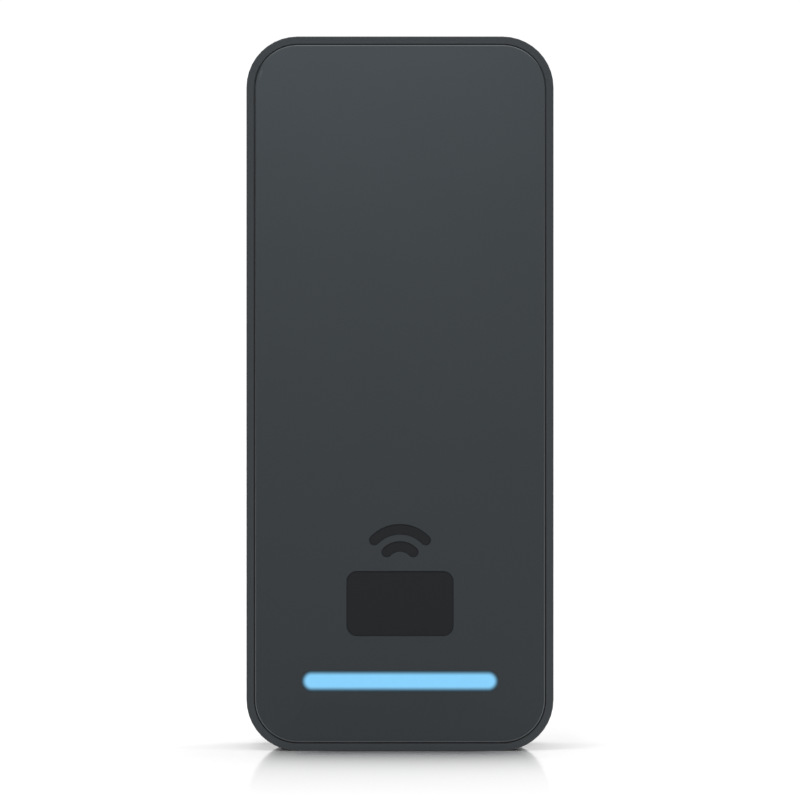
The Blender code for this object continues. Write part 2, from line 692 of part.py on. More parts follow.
def make_light_bar(finishes):
    centre = (0, LIGHT_BAR_Z)
    flange_y = COVER_BACK_Y + FIT
    guide_y = flange_y + LENS_FLANGE_THICKNESS + FIT
    flange = rounded_rectangle(*LENS_FLANGE, centre, CORNER_STEPS)
    lens = prism("light_bar_lens", "Y", flange, flange_y, flange_y + LENS_FLANGE_THICKNESS, finishes["lens"])
    window = stadium(LIGHT_BAR_WIDTH, LIGHT_BAR_HEIGHT, centre)
    join(lens, prism("lens_window", "Y", window, FRONT_Y + LENS_RECESS, flange_y + LENS_FLANGE_THICKNESS / 2))
    guide = rounded_rectangle(*LIGHT_GUIDE, centre, CORNER_STEPS)
    prism("light_guide", "Y", guide, guide_y, guide_y + LIGHT_GUIDE_THICKNESS, finishes["clear"])
    outer = rounded_rectangle(*LIGHT_SHIELD_OUTER, centre, CORNER_STEPS)
    inner = rounded_rectangle(*LIGHT_SHIELD_INNER, centre, CORNER_STEPS)
    ring("light_shield", "Y", outer, inner, guide_y, BOARD_FRONT_Y - FIT, finishes["white"])
    foot = BOARD_FRONT_Y - FIT
    for i in range(LED_COUNT):
        x = (i - (LED_COUNT - 1) / 2) * LED_PITCH
        low = (x - LED_WIDTH / 2, foot - LED_THICKNESS, LIGHT_BAR_Z - LED_HEIGHT / 2)
        high = (x + LED_WIDTH / 2, foot, LIGHT_BAR_Z + LED_HEIGHT / 2)
        box(f"led_{i + 1}", low, high, finishes["white"])


# ---------------------------------------------------------------- boards and their components


def make_main_board(finish):
    board = body_stack("main_board", ((BOARD_FRONT_Y, BOARD_INSET), (BOARD_BACK_Y, BOARD_INSET)), finish)
    low, high = BOARD_FRONT_Y - PAST, BOARD_BACK_Y + PAST
    for i, centre in enumerate(board_screw_centres()):
        cut(board, rod(f"board_hole_{i}", centre, BOARD_HOLE_RADIUS, low, high, 14))


def make_board_screws(finish):
    seat = BOARD_FRONT_Y - CLEAR
    crown = seat - BOARD_HEAD_HEIGHT
    profile = (
        (crown, BOARD_HEAD_RADIUS - BOARD_HEAD_EDGE[0]),
        (crown + BOARD_HEAD_EDGE[1], BOARD_HEAD_RADIUS),
        (seat, BOARD_HEAD_RADIUS),
        (seat, BOARD_SHANK_RADIUS),
        (BOARD_SHANK_END_Y, BOARD_SHANK_RADIUS),
        (BOARD_SHANK_END_Y + BOARD_TIP[1], BOARD_SHANK_RADIUS - BOARD_TIP[0]),
    )
    arms = ((CROSS_HALF_LENGTH, CROSS_HALF_WIDTH), (CROSS_HALF_WIDTH, CROSS_HALF_LENGTH))
    for i, (x, z) in enumerate(board_screw_centres()):
        screw = turned(f"board_screw_{i + 1}", "Y", (x, z), profile, finish, steps=16)
        for j, (wide, tall) in enumerate(arms):
            low = (x - wide, crown - PAST, z - tall)
            cut(screw, box(f"cross_{i}_{j}", low, (x + wide, crown + CROSS_DEPTH, z + tall)))


def make_antenna_board(finish):
    outline = rounded_rectangle(ANTENNA_WIDTH, ANTENNA_HEIGHT, ANTENNA_RADIUS, (0, ANTENNA_Z), CORNER_STEPS)
    board = prism("antenna_board", "Y", outline, ANTENNA_FRONT_Y, ANTENNA_BACK_Y, finish)
    radius = STAKE_RADIUS + CLEAR
    for i, centre in enumerate(stake_centres()):
        cut(board, rod(f"stake_hole_{i}", centre, radius, ANTENNA_FRONT_Y - PAST, ANTENNA_BACK_Y + PAST, 10))


def spiral_path(width, height, radius, pitch, turns):
    """A rectangular spiral with round corners, stepping in along its lower side once a turn."""
    path = []
    for turn in range(turns):
        inset = turn * pitch
        half = (width / 2 - inset, height / 2 - inset)
        bend = max(radius - inset, COIL_BEND_MINIMUM)
        for quarter, (side, end) in enumerate(((1, -1), (1, 1), (-1, 1), (-1, -1))):
            middle = (side * (half[0] - bend), ANTENNA_Z + end * (half[1] - bend))
            path += arc(middle, bend, 90 * quarter - 90, 90 * quarter, CORNER_STEPS)
        path.append((COIL_STEP_X, ANTENNA_Z - half[1]))
    return path


def ribbon(name, path, width, low, high, finish):
    """A flat strip along an open path in the XZ plane, mitred at its bends."""
    loops = []
    for i, (x, z) in enumerate(path):
        before = Vector(path[max(i - 1, 0)])
        after = Vector(path[min(i + 1, len(path) - 1)])
        here = Vector((x, z))
        way_in = (here - before).normalized() if i else (after - here).normalized()
        way_out = (after - here).normalized() if i < len(path) - 1 else way_in
        middle = (way_in + way_out).normalized()
        across = Vector((-middle.y, middle.x)) * (width / 2 / max(middle.dot(way_in), 0.5))
        corners = ((here + across, low), (here - across, low), (here - across, high), (here + across, high))
        loops.append([(point.x, depth, point.y) for point, depth in corners])
    return loft(name, loops, finish)


def make_antenna_coil(finish):
    path = spiral_path(COIL_WIDTH, COIL_HEIGHT, COIL_RADIUS, COIL_PITCH, COIL_TURNS)
    back = ANTENNA_FRONT_Y - FIT
    ribbon("antenna_coil", path, COIL_TRACK_WIDTH, back - COIL_TRACK_THICKNESS, back, finish)


def make_antenna_parts(finishes):
    low = ANTENNA_BACK_Y + FIT
    sheet = rounded_rectangle(*FERRITE, (0, FERRITE_Z), CORNER_STEPS)
    prism("ferrite_sheet", "Y", sheet, low, low + FERRITE_THICKNESS, finishes["ferrite"])
    half_width, half_height = CONNECTOR_WIDTH / 2, CONNECTOR_HEIGHT / 2
    connector = rectangle((-half_width, CONNECTOR_Z - half_height), (half_width, CONNECTOR_Z + half_height))
    prism("antenna_connector", "Y", connector, low, BOARD_FRONT_Y - FIT, finishes["white"])


def component(name, finish, x, z, width, height, thickness, edge):
    """A block soldered on the back of the main board."""
    low = BOARD_BACK_Y + FIT
    outline = rectangle((x - width / 2, z - height / 2), (x + width / 2, z + height / 2))
    made = prism(name, "Y", outline, low, low + thickness, finish)
    bevel(made, edge)
    return made


def make_components(finishes):
    made = {name: component(name, finishes[slot], *sizes) for name, (slot, *sizes) in COMPONENTS.items()}
    x, z = COMPONENTS["power_transformer"][1:3]
    low = (x - WINDING_HALF_SIZE, BOARD_BACK_Y + WINDING_DEPTHS[0], z - WINDING_HALF_SIZE)
    high = (x + WINDING_HALF_SIZE, BOARD_BACK_Y + WINDING_DEPTHS[1], z + WINDING_HALF_SIZE)
    join(made["power_transformer"], box("transformer_winding", low, high))
    profile = [(BOARD_BACK_Y + FIT + depth, radius) for depth, radius in CAPACITOR_PROFILE]
    for i, height in enumerate(CAPACITOR_HEIGHTS):
        turned(f"capacitor_{i + 1}", "Y", (CAPACITOR_X, height), profile, finishes["tin"])


def make_buzzer(finishes):
    base, centre = BOARD_BACK_Y + FIT, (BUZZER_X, BUZZER_Z)
    top = base + BUZZER_HEIGHT
    profile = (
        (base, BUZZER_RADIUS),
        (top - BUZZER_EDGE, BUZZER_RADIUS),
        (top, BUZZER_RADIUS - BUZZER_EDGE),
    )
    buzzer = turned("buzzer", "Y", centre, profile, finishes["plastic"], steps=24)
    port_radius, port_depth = BUZZER_PORT
    cut(buzzer, rod("buzzer_port", centre, port_radius, top - port_depth, top + PAST, 12))
    high = BACK_WALL_INNER_Y - FIT
    span = ((high - VENT_THICKNESS, VENT_RADIUS), (high, VENT_RADIUS))
    turned("acoustic_vent", "Y", centre, span, finishes["white"])


# ---------------------------------------------------------------- network jack


def make_jack_contacts(finish):
    """Eight spring wires slanting from a bar at the blind end of the socket towards its mouth."""
    comb = box("jack_contacts", *CONTACT_BAR, finish)
    for i in range(CONTACT_COUNT):
        x = (i - (CONTACT_COUNT - 1) / 2) * CONTACT_PITCH
        join(comb, prism(f"contact_{i}", "X", CONTACT_PROFILE, x - CONTACT_WIDTH / 2, x + CONTACT_WIDTH / 2))


def make_jack(finishes):
    """A modular network socket: black insert, steel can round it, and gold wires. Its mouth faces down."""
    front = BOARD_BACK_Y + FIT
    sheet_y = JACK_REAR_Y - SHIELD_SHEET
    inner = JACK_HALF_WIDTH - SHIELD_SHEET
    half = inner - FIT
    top = JACK_HEIGHT - SHIELD_SHEET
    insert = box("jack_housing", (-half, front, 0), (half, sheet_y - FIT, top - FIT), finishes["plastic"])
    for name, wide, span, end in (
        ("socket", SOCKET_HALF_WIDTH, SOCKET_YS, SOCKET_TOP_Z),
        ("latch_slot", LATCH_HALF_WIDTH, LATCH_YS, LATCH_TOP_Z),
    ):
        cut(insert, box(name, (-wide, span[0], -PAST), (wide, span[1], end)))
    can_high = (JACK_HALF_WIDTH, JACK_REAR_Y, JACK_HEIGHT)
    can = box("jack_shield", (-JACK_HALF_WIDTH, front, -FIT), can_high, finishes["tin"])
    cut(can, box("can_void", (-inner, front - PAST, -FIT - PAST), (inner, sheet_y, top)))
    make_jack_contacts(finishes["gold"])
    middle = (0, JACK_HEIGHT / 2)
    outer_line = rounded_rectangle(*JACK_SEAL_OUTER, middle, CORNER_STEPS)
    inner_line = rounded_rectangle(*JACK_SEAL_INNER, middle, CORNER_STEPS)
    low, high = WELL_FLOOR_Y - WELL_WALL + FIT, WELL_FLOOR_Y - FIT
    ring("jack_seal", "Y", outer_line, inner_line, low, high, finishes["rubber"])


# ---------------------------------------------------------------- sprung plungers and their switches


def plunger(name, side, tip_y, flange_y, foot_y, finish):
    """A rod through the back wall, with a flange that keeps it in and a foot towards its switch."""
    profile = (
        (foot_y, FOOT_RADIUS - FOOT_EDGE),
        (foot_y + FOOT_EDGE, FOOT_RADIUS),
        (flange_y - FLANGE_THICKNESS, FOOT_RADIUS),
        (flange_y - FLANGE_THICKNESS, FLANGE_RADIUS),
        (flange_y, FLANGE_RADIUS),
        (flange_y, ROD_RADIUS),
        (tip_y - ROD_EDGE, ROD_RADIUS),
        (tip_y, ROD_RADIUS - ROD_EDGE),
    )
    made = turned(name, "Y", (side * PLUNGER_X, PLUNGER_Z), profile, finish)
    set_origin(made, (side * PLUNGER_X, flange_y, PLUNGER_Z))


def spring(name, side, low, high, finish):
    """A coil spring round the plunger's foot, between its seat and the flange."""
    curve = bpy.data.curves.new(name, "CURVE")
    curve.dimensions = "3D"
    curve.bevel_depth = SPRING_WIRE / 2
    curve.bevel_resolution = 1
    curve.use_fill_caps = True
    count = round(SPRING_TURNS * SPRING_STEPS)
    line = curve.splines.new("POLY")
    line.points.add(count)
    start, end = low + SPRING_WIRE / 2, high - SPRING_WIRE / 2
    for i, point in enumerate(line.points):
        angle = 2 * math.pi * SPRING_TURNS * i / count
        x = side * PLUNGER_X + SPRING_RADIUS * math.cos(angle)
        z = PLUNGER_Z + SPRING_RADIUS * math.sin(angle)
        point.co = (x, start + (end - start) * i / count, z, 1)
    curve.materials.append(finish)
    made = bpy.data.objects.new(name, curve)
    bpy.context.scene.collection.objects.link(made)


def switch(name, side, stem_top, finishes):
    """A push switch on the main board, and its stem in a round hole."""
    centre = (side * PLUNGER_X, PLUNGER_Z)
    hole_radius, hole_floor = SWITCH_HOLE
    body = component(name, finishes["plastic"], *centre, *SWITCH_SIZE, SWITCH_EDGE)
    cut(body, rod(f"{name}_hole", centre, hole_radius, hole_floor, STEM_TOP_Y + PAST, 16))
    profile = ((stem_top - STEM_LENGTH, STEM_RADIUS), (stem_top, STEM_RADIUS))
    stem = turned(f"{name}_stem", "Y", centre, profile, finishes["white"], steps=16)
    set_origin(stem, (centre[0], stem_top, centre[1]))


def retainer(name, side, finish):
    """The washer that closes the sleeve and seats the spring."""
    centre = (side * PLUNGER_X, PLUNGER_Z)
    outer, inner = circle(SLEEVE_BORE - FIT, centre), circle(FOOT_RADIUS + CLEAR, centre)
    ring(name, "Y", outer, inner, SLEEVE_FRONT_Y, SLEEVE_FRONT_Y + RETAINER_THICKNESS, finish)


def make_plungers(finishes):
    reset_tip = BACK_WALL_Y - CLEAR
    plunger("reset_button", 1, reset_tip, RESET_FLANGE_Y, STEM_TOP_Y + CLEAR, finishes["white"])
    spring("reset_spring", 1, SPRING_SEAT_Y, RESET_FLANGE_Y - FLANGE_THICKNESS - FIT, finishes["spring"])
    retainer("reset_retainer", 1, finishes["steel"])
    switch("reset_switch", 1, STEM_TOP_Y, finishes)
    tip = -PLATE_THICKNESS - CLEAR
    stem = STEM_TOP_Y - TAMPER_STEM_PRESSED
    plunger("tamper_plunger", -1, tip, TAMPER_FLANGE_Y, stem + CLEAR, finishes["plastic"])
    spring("tamper_spring", -1, SPRING_SEAT_Y, TAMPER_FLANGE_Y - FLANGE_THICKNESS - FIT, finishes["spring"])
    retainer("tamper_retainer", -1, finishes["steel"])
    switch("tamper_switch", -1, stem, finishes)


# ---------------------------------------------------------------- back: wall plate, seals, label, screw


def tongue(side):
    """A strip of the plate joggled forward and up, which reaches into a pocket in the housing's top wall."""
    half = PLATE_THICKNESS / 2
    back, front = TONGUE_Y + half, TONGUE_Y - half
    root_back, root_front = -TONGUE_SHY, -PLATE_THICKNESS + TONGUE_SHY
    profile = (
        (root_front, TONGUE_ROOT_Z),
        (root_back, TONGUE_ROOT_Z),
        (root_back, TONGUE_BENDS_BACK[0]),
        (back, TONGUE_BENDS_BACK[1]),
        (back, TONGUE_TIP_Z - TONGUE_TIP_EDGE),
        (back - TONGUE_TIP_EDGE, TONGUE_TIP_Z),
        (front + TONGUE_TIP_EDGE, TONGUE_TIP_Z),
        (front, TONGUE_TIP_Z - TONGUE_TIP_EDGE),
        (front, TONGUE_BENDS_FRONT[1]),
        (root_front, TONGUE_BENDS_FRONT[0]),
    )
    middle, reach = side * TONGUE_X, TONGUE_WIDTH / 2
    return prism(f"tongue_{side}", "X", profile, middle - reach, middle + reach)


def plate_outline():
    """Large round corners below, small ones above, and the bottom edge as far as the tab's bend."""
    bottom = PLATE_BOTTOM_Z + PLATE_THICKNESS / 2
    wide, narrow = PLATE_LOW_RADIUS, PLATE_HIGH_RADIUS
    corners = (
        ((PLATE_HALF_WIDTH - narrow, PLATE_TOP_Z - narrow), narrow, 0),
        ((-PLATE_HALF_WIDTH + narrow, PLATE_TOP_Z - narrow), narrow, 90),
        ((-PLATE_HALF_WIDTH + wide, bottom + wide), wide, 180),
        ((PLATE_HALF_WIDTH - wide, bottom + wide), wide, 270),
    )
    points = []
    for centre, radius, start in corners:
        points += arc(centre, radius, start, start + 90, 6)
    return points


def plate_holes():
    """Outlines of the cable window, the two fixing slots and the arrow that points up."""
    width, height = 2 * WINDOW_HALF_WIDTH, WINDOW_TOP_Z - WINDOW_BOTTOM_Z
    middle = (0, (WINDOW_TOP_Z + WINDOW_BOTTOM_Z) / 2)
    arrow_foot = ARROW_TIP_Z - ARROW_HEIGHT
    return {
        "window": rounded_rectangle(width, height, WINDOW_RADIUS, middle, CORNER_STEPS),
        "level_slot": stadium(LEVEL_SLOT_LENGTH, FIXING_WIDTH, (0, FIXING_Z)),
        "plumb_slot": [(z, x - FIXING_Z) for x, z in stadium(PLUMB_SLOT_LENGTH, FIXING_WIDTH)],
        "arrow": [(0, ARROW_TIP_Z), (-ARROW_HALF_WIDTH, arrow_foot), (ARROW_HALF_WIDTH, arrow_foot)],
    }


def make_wall_plate(finish):
    plate = prism("wall_plate", "Y", plate_outline(), -PLATE_THICKNESS, 0, finish)
    join(plate, tongue(-1), tongue(1))
    tab_low = (-TAB_HALF_WIDTH, TAB_FRONT_Y, PLATE_BOTTOM_Z)
    tab = box("tab", tab_low, (TAB_HALF_WIDTH, TAB_BACK_Y, PLATE_BOTTOM_Z + PLATE_THICKNESS))
    centre = (0, SCREW_Y)
    collar_span = ((PLATE_BOTTOM_Z + PLATE_THICKNESS / 2, COLLAR_RADIUS), (COLLAR_TOP_Z, COLLAR_RADIUS))
    join(plate, tab, turned("collar", "Z", centre, collar_span))
    hole_radius = SCREW_SHANK_RADIUS + CLEAR
    hole_span = ((PLATE_BOTTOM_Z - PAST, hole_radius), (COLLAR_TOP_Z + PAST, hole_radius))
    cut(plate, turned("thread_hole", "Z", centre, hole_span))
    for name, outline in plate_holes().items():
        cut(plate, prism(f"plate_{name}", "Y", outline, -PLATE_THICKNESS - PAST, PAST))


def make_wall_seal(finish):
    """A rubber bead in the rear rim, open at the bottom so that water drains past the screw."""
    outer, inner = (body_outline(inset) for inset in WALL_SEAL_INSETS)
    low, high = WALL_SEAL_YS
    seal = ring("wall_seal", "Y", outer, inner, low, high, finish)
    gap_low = (-DRAIN_HALF_WIDTH, low - PAST, -BODY_HEIGHT / 2 - PAST)
    cut(seal, box("drain_gap", gap_low, (DRAIN_HALF_WIDTH, high + PAST, WELL_BOTTOM_Z)))


def make_label(finish):
    outline = rounded_rectangle(*LABEL, (0, LABEL_Z), CORNER_STEPS)
    low = BACK_WALL_Y + FIT
    prism("rating_label", "Y", outline, low, low + LABEL_THICKNESS, finish)


def lobed_outline():
    points = []
    for i in range(LOBE_STEPS):
        angle = 2 * math.pi * i / LOBE_STEPS
        radius = LOBE_RADIUS + LOBE_RISE * math.cos(LOBE_COUNT * angle)
        points.append((radius * math.cos(angle), SCREW_Y + radius * math.sin(angle)))
    return points


def make_security_screw(finishes):
    """A captive screw with a six-lobed recess and a pin in it, and the ring that keeps it on the tab."""
    centre = (0, SCREW_Y)
    profile = (
        (SCREW_HEAD_LOW_Z, SCREW_HEAD_RADIUS - SCREW_HEAD_EDGE),
        (SCREW_HEAD_LOW_Z + SCREW_HEAD_EDGE, SCREW_HEAD_RADIUS),
        (SCREW_HEAD_TOP_Z, SCREW_HEAD_RADIUS),
        (SCREW_HEAD_TOP_Z, SCREW_SHANK_RADIUS),
        (SCREW_END_Z - SCREW_END_EDGE, SCREW_SHANK_RADIUS),
        (SCREW_END_Z, SCREW_SHANK_RADIUS - SCREW_END_EDGE),
    )
    screw = turned("security_screw", "Z", centre, profile, finishes["steel"], steps=24)
    set_origin(screw, (*centre, SCREW_HEAD_TOP_Z))
    recess_top = SCREW_HEAD_LOW_Z + LOBE_DEPTH
    cut(screw, prism("drive_recess", "Z", lobed_outline(), SCREW_HEAD_LOW_Z - PAST, recess_top))
    pin_span = ((SCREW_HEAD_LOW_Z + PIN_SHY, PIN_RADIUS), (recess_top + PIN_EMBED, PIN_RADIUS))
    join(screw, turned("drive_pin", "Z", centre, pin_span, steps=10))
    outer, inner = circle(KEEPER_RADIUS, centre), circle(SCREW_SHANK_RADIUS + FIT, centre)
    keeper = ring("screw_retaining_ring", "Z", outer, inner, *KEEPER_ZS, finishes["spring"])
    set_origin(keeper, (*centre, KEEPER_ZS[0]))
    hang(screw, keeper)


def hang_reader():
    """Parents each tool to what it shapes, and all but the plate and its screw to the hinge line."""
    pivot = bpy.data.objects.new("reader_hinge", None)
    pivot.location = HINGE
    stays = ("reader_hinge", "wall_plate", "security_screw", "screw_retaining_ring")
    for obj in list(bpy.data.objects):
        for step in obj.modifiers:
            if step.type == "BOOLEAN":
                hang(step.object, obj)
        if not obj.hide_render and obj.name not in stays:
            hang(obj, pivot)
    bpy.context.scene.collection.objects.link(pivot)


def main():
    for obj in list(bpy.data.objects):
        bpy.data.objects.remove(obj)
    finishes = make_materials()
    make_housing(finishes["shell"])
    make_front_cover(finishes["cover"])
    make_front_seal(finishes["rubber"])
    make_emblem_insert(finishes["emblem"])
    make_light_bar(finishes)
    make_main_board(finishes["board"])
    make_board_screws(finishes["steel"])
    make_antenna_board(finishes["board"])
    make_antenna_coil(finishes["copper"])
    make_antenna_parts(finishes)
    make_components(finishes)
    make_buzzer(finishes)
    make_jack(finishes)
    make_plungers(finishes)
    make_wall_plate(finishes["plate"])
    make_wall_seal(finishes["rubber"])
    make_label(finishes["label"])
    make_security_screw(finishes)
    hang_reader()


main()
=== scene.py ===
"""The looks of the slim card reader: fine meshes for what shows, materials, floor, light and camera."""

import json
import math

import bmesh
import bpy
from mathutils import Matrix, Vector


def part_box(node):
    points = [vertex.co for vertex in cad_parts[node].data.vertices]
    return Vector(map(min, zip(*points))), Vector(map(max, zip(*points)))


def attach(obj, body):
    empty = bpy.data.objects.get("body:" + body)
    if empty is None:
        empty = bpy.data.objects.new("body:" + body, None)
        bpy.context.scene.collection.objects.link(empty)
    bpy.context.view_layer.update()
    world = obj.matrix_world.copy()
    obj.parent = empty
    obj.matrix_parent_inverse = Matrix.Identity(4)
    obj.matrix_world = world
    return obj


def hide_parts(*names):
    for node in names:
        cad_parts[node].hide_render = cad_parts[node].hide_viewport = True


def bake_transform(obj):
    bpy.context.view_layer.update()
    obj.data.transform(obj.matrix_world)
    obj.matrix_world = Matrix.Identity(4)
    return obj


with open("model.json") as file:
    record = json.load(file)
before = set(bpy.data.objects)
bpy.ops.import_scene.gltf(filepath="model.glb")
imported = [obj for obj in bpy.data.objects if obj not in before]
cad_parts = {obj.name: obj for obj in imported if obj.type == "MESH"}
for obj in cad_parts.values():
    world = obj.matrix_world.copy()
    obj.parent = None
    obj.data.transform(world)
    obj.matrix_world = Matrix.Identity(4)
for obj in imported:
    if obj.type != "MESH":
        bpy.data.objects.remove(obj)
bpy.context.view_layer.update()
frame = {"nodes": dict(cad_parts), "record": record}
NODES = frame["nodes"]
MM = 0.001

# The CAD model's places, read from its nodes.
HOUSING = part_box("housing")
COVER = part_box("front_cover")
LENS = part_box("light_bar_lens")
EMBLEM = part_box("emblem_insert")
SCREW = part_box("security_screw")
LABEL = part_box("rating_label")
WIDTH = HOUSING[1].x - HOUSING[0].x
HEIGHT = HOUSING[1].z - HOUSING[0].z
FRONT_Y = HOUSING[0].y
BASE_Z = HOUSING[0].z
COVER_INSET = COVER[0].x - HOUSING[0].x

# Cover, rim and seal: the cover's flat falls away in a crown, then a bright chamfer, then its side.
BODY_RADIUS = 8.3 * MM
COVER_BACK_Y = FRONT_Y + 1.8 * MM
CROWN_WIDTH = 1.5 * MM
CROWN_DROP = 0.015 * MM
CROWN_STEPS = 8
CHAMFER_WIDTH = 0.16 * MM
CHAMFER_DROP = 0.07 * MM
CHAMFER_EASE = 0.015 * MM
CHAMFER_BANDS = 3
RIM_WIDTH = 1.2 * MM
SEAL_DEPTH = 0.22 * MM
SEAL_INNER_INSET = 2.1 * MM
HAIRLINE = 0.02 * MM

# Status bar and pictogram, which fill the cover's openings from behind.
BAR_WIDTH = 32.2 * MM
BAR_HEIGHT = 3.5 * MM
BAR_FLANGE = 0.4 * MM
BAR_FLANGE_RADIUS = 1.5 * MM
GLOW_RADII = (0.79 * MM, 1.69 * MM)
INSERT_Y = COVER_BACK_Y + 0.1 * MM
INSERT_OVERLAP = 0.2 * MM
EMBLEM_PLATE = 0.35 * MM
EMBLEM_GROWTH = 0.08 * MM
SLOT_GROWTH = 0.1 * MM
SLOT_EDGE = 0.06 * MM
CUT_PAST = 1 * MM
CARD_WIDTH = 17.2 * MM
CARD_HEIGHT = 10.4 * MM
CARD_RADIUS = 1.6 * MM
CARD_Z = -34.2 * MM
WAVE_CENTRE_Z = -27.9 * MM
WAVE_RADII = (3.0 * MM, 5.8 * MM)
WAVE_STROKE = 1.5 * MM
WAVE_HALF_ANGLE = 46
BAR_Z = (LENS[0].z + LENS[1].z) / 2

# Screw in the bottom edge: its head, its six-lobed recess with a pin, and its thread.
SCREW_STEPS = 48
HEAD_HEIGHT = 1.1 * MM
HEAD_EDGE = 0.25 * MM
HEAD_STEPS = 5
SEAT_BREAK = 0.08 * MM
SHANK_RADIUS = 1.45 * MM
TIP_CHAMFER = 0.4 * MM
THREAD_PITCH = 0.5 * MM
THREAD_DEPTH = 0.16 * MM
THREAD_STEPS = 8
LOBE_COUNT = 6
LOBE_STEPS = 72
LOBE_RADIUS = 1.3 * MM
LOBE_RISE = 0.22 * MM
LOBE_DEPTH = 0.8 * MM
PIN_RADIUS = 0.35 * MM
PIN_STEPS = 24
PIN_SHY = 0.1 * MM
PIN_ROOT = 0.1 * MM
PIN_TIP = ((0.0, 0.7), (0.06 * MM, 0.92), (0.14 * MM, 1.0))

# Coil springs of the two plungers, whose ends are closed and ground.
SPRING_RADIUS = 1.6 * MM
SPRING_WIRE = 0.32 * MM
SPRING_TURNS = 6.5
SPRING_STEPS = 28
WIRE_SIDES = 10

# Rating label: the distances over which the ink of its frame and its blank ruled rows starts or ends.
LABEL_FRAME_OUTER = (0.8 * MM, 0.84 * MM)
LABEL_FRAME_INNER = (0.98 * MM, 1.02 * MM)
LABEL_ROWS_EDGE = (2.2 * MM, 2.24 * MM)
LABEL_ROW_LINE = (0.05 * MM, 0.08 * MM)
LABEL_ROW_HALF = 1.5 * MM

# Materials: a plastic's slow flow marks and its slightly blue reflections, the usual span of a noise,
# and the sockets of a colour Mix node, which share their names with those of its other types.
FLOW_SIZE = 18 * MM
COOL = (0.93, 1.0, 1.06, 1.0)
NOISE_SPAN = (0.3, 0.7)
MIX_FACTOR, MIX_FIRST, MIX_SECOND, MIX_RESULT = 0, 6, 7, 2

# How close a CAD node's corners are to be joined, and how far each carried node's true edges are rounded.
WELD_DISTANCE = 0.001 * MM
EDGE_WIDTHS = {
    "housing": 0.12 * MM,
    "wall_plate": 0.12 * MM,
    "wall_seal": 0.15 * MM,
    "jack_housing": 0.12 * MM,
    "jack_shield": 0.06 * MM,
    "jack_contacts": 0.05 * MM,
    "jack_seal": 0.1 * MM,
    "reset_button": 0.12 * MM,
    "tamper_plunger": 0.12 * MM,
    "screw_retaining_ring": 0.08 * MM,
    "rating_label": 0.03 * MM,
}

# Studio: brightness by direction as (axis, from, to, strength), and a soft key light above and in front.
WORLD_BASE = 0.25
WORLD_TERMS = (("Z", 0.35, 0.8, 1.2), ("Y", -0.2, 0.7, 0.5), ("X", -0.8, 0.8, 0.32))
BACKDROP_STRENGTH = 1.05
KEY_PLACE = (-0.03, -0.125, 0.13)
KEY_TARGET = (0, -0.02, 0.09)
KEY_SIZE = (0.1, 0.06)
KEY_POWER = 0.145
KEY_SPREAD = 115

# Floor: how its mirror dies away from the reader's foot, and less quickly behind it.
FLOOR_HALF_SIZE = 6.0
FLOOR_GAP = 0.01 * MM
FLOOR_WHITE = 0.8
FOOT_HALF_WIDTH = 11 * MM
MIRROR_REACH = 28 * MM
MIRROR_SHARE = 0.95
MIRROR_ROUGHNESS = 0.06
MIRROR_BEHIND = 0.5

# The picture's framing.
CAMERA_DISTANCE = 0.8
SENSOR_WIDTH = 36.0
SHARE_OF_PICTURE = 0.893
RAISED_IN_PICTURE = 0.008


# ---------------------------------------------------------------- shader nodes


def linear(level):
    """A screen colour level from 0 to 255 as the linear value that a shader takes."""
    share = level / 255
    return share / 12.92 if share <= 0.04045 else ((share + 0.055) / 1.055) ** 2.4


def shade(colour, gain=1.0):
    return (*(linear(level) * gain for level in colour), 1.0)


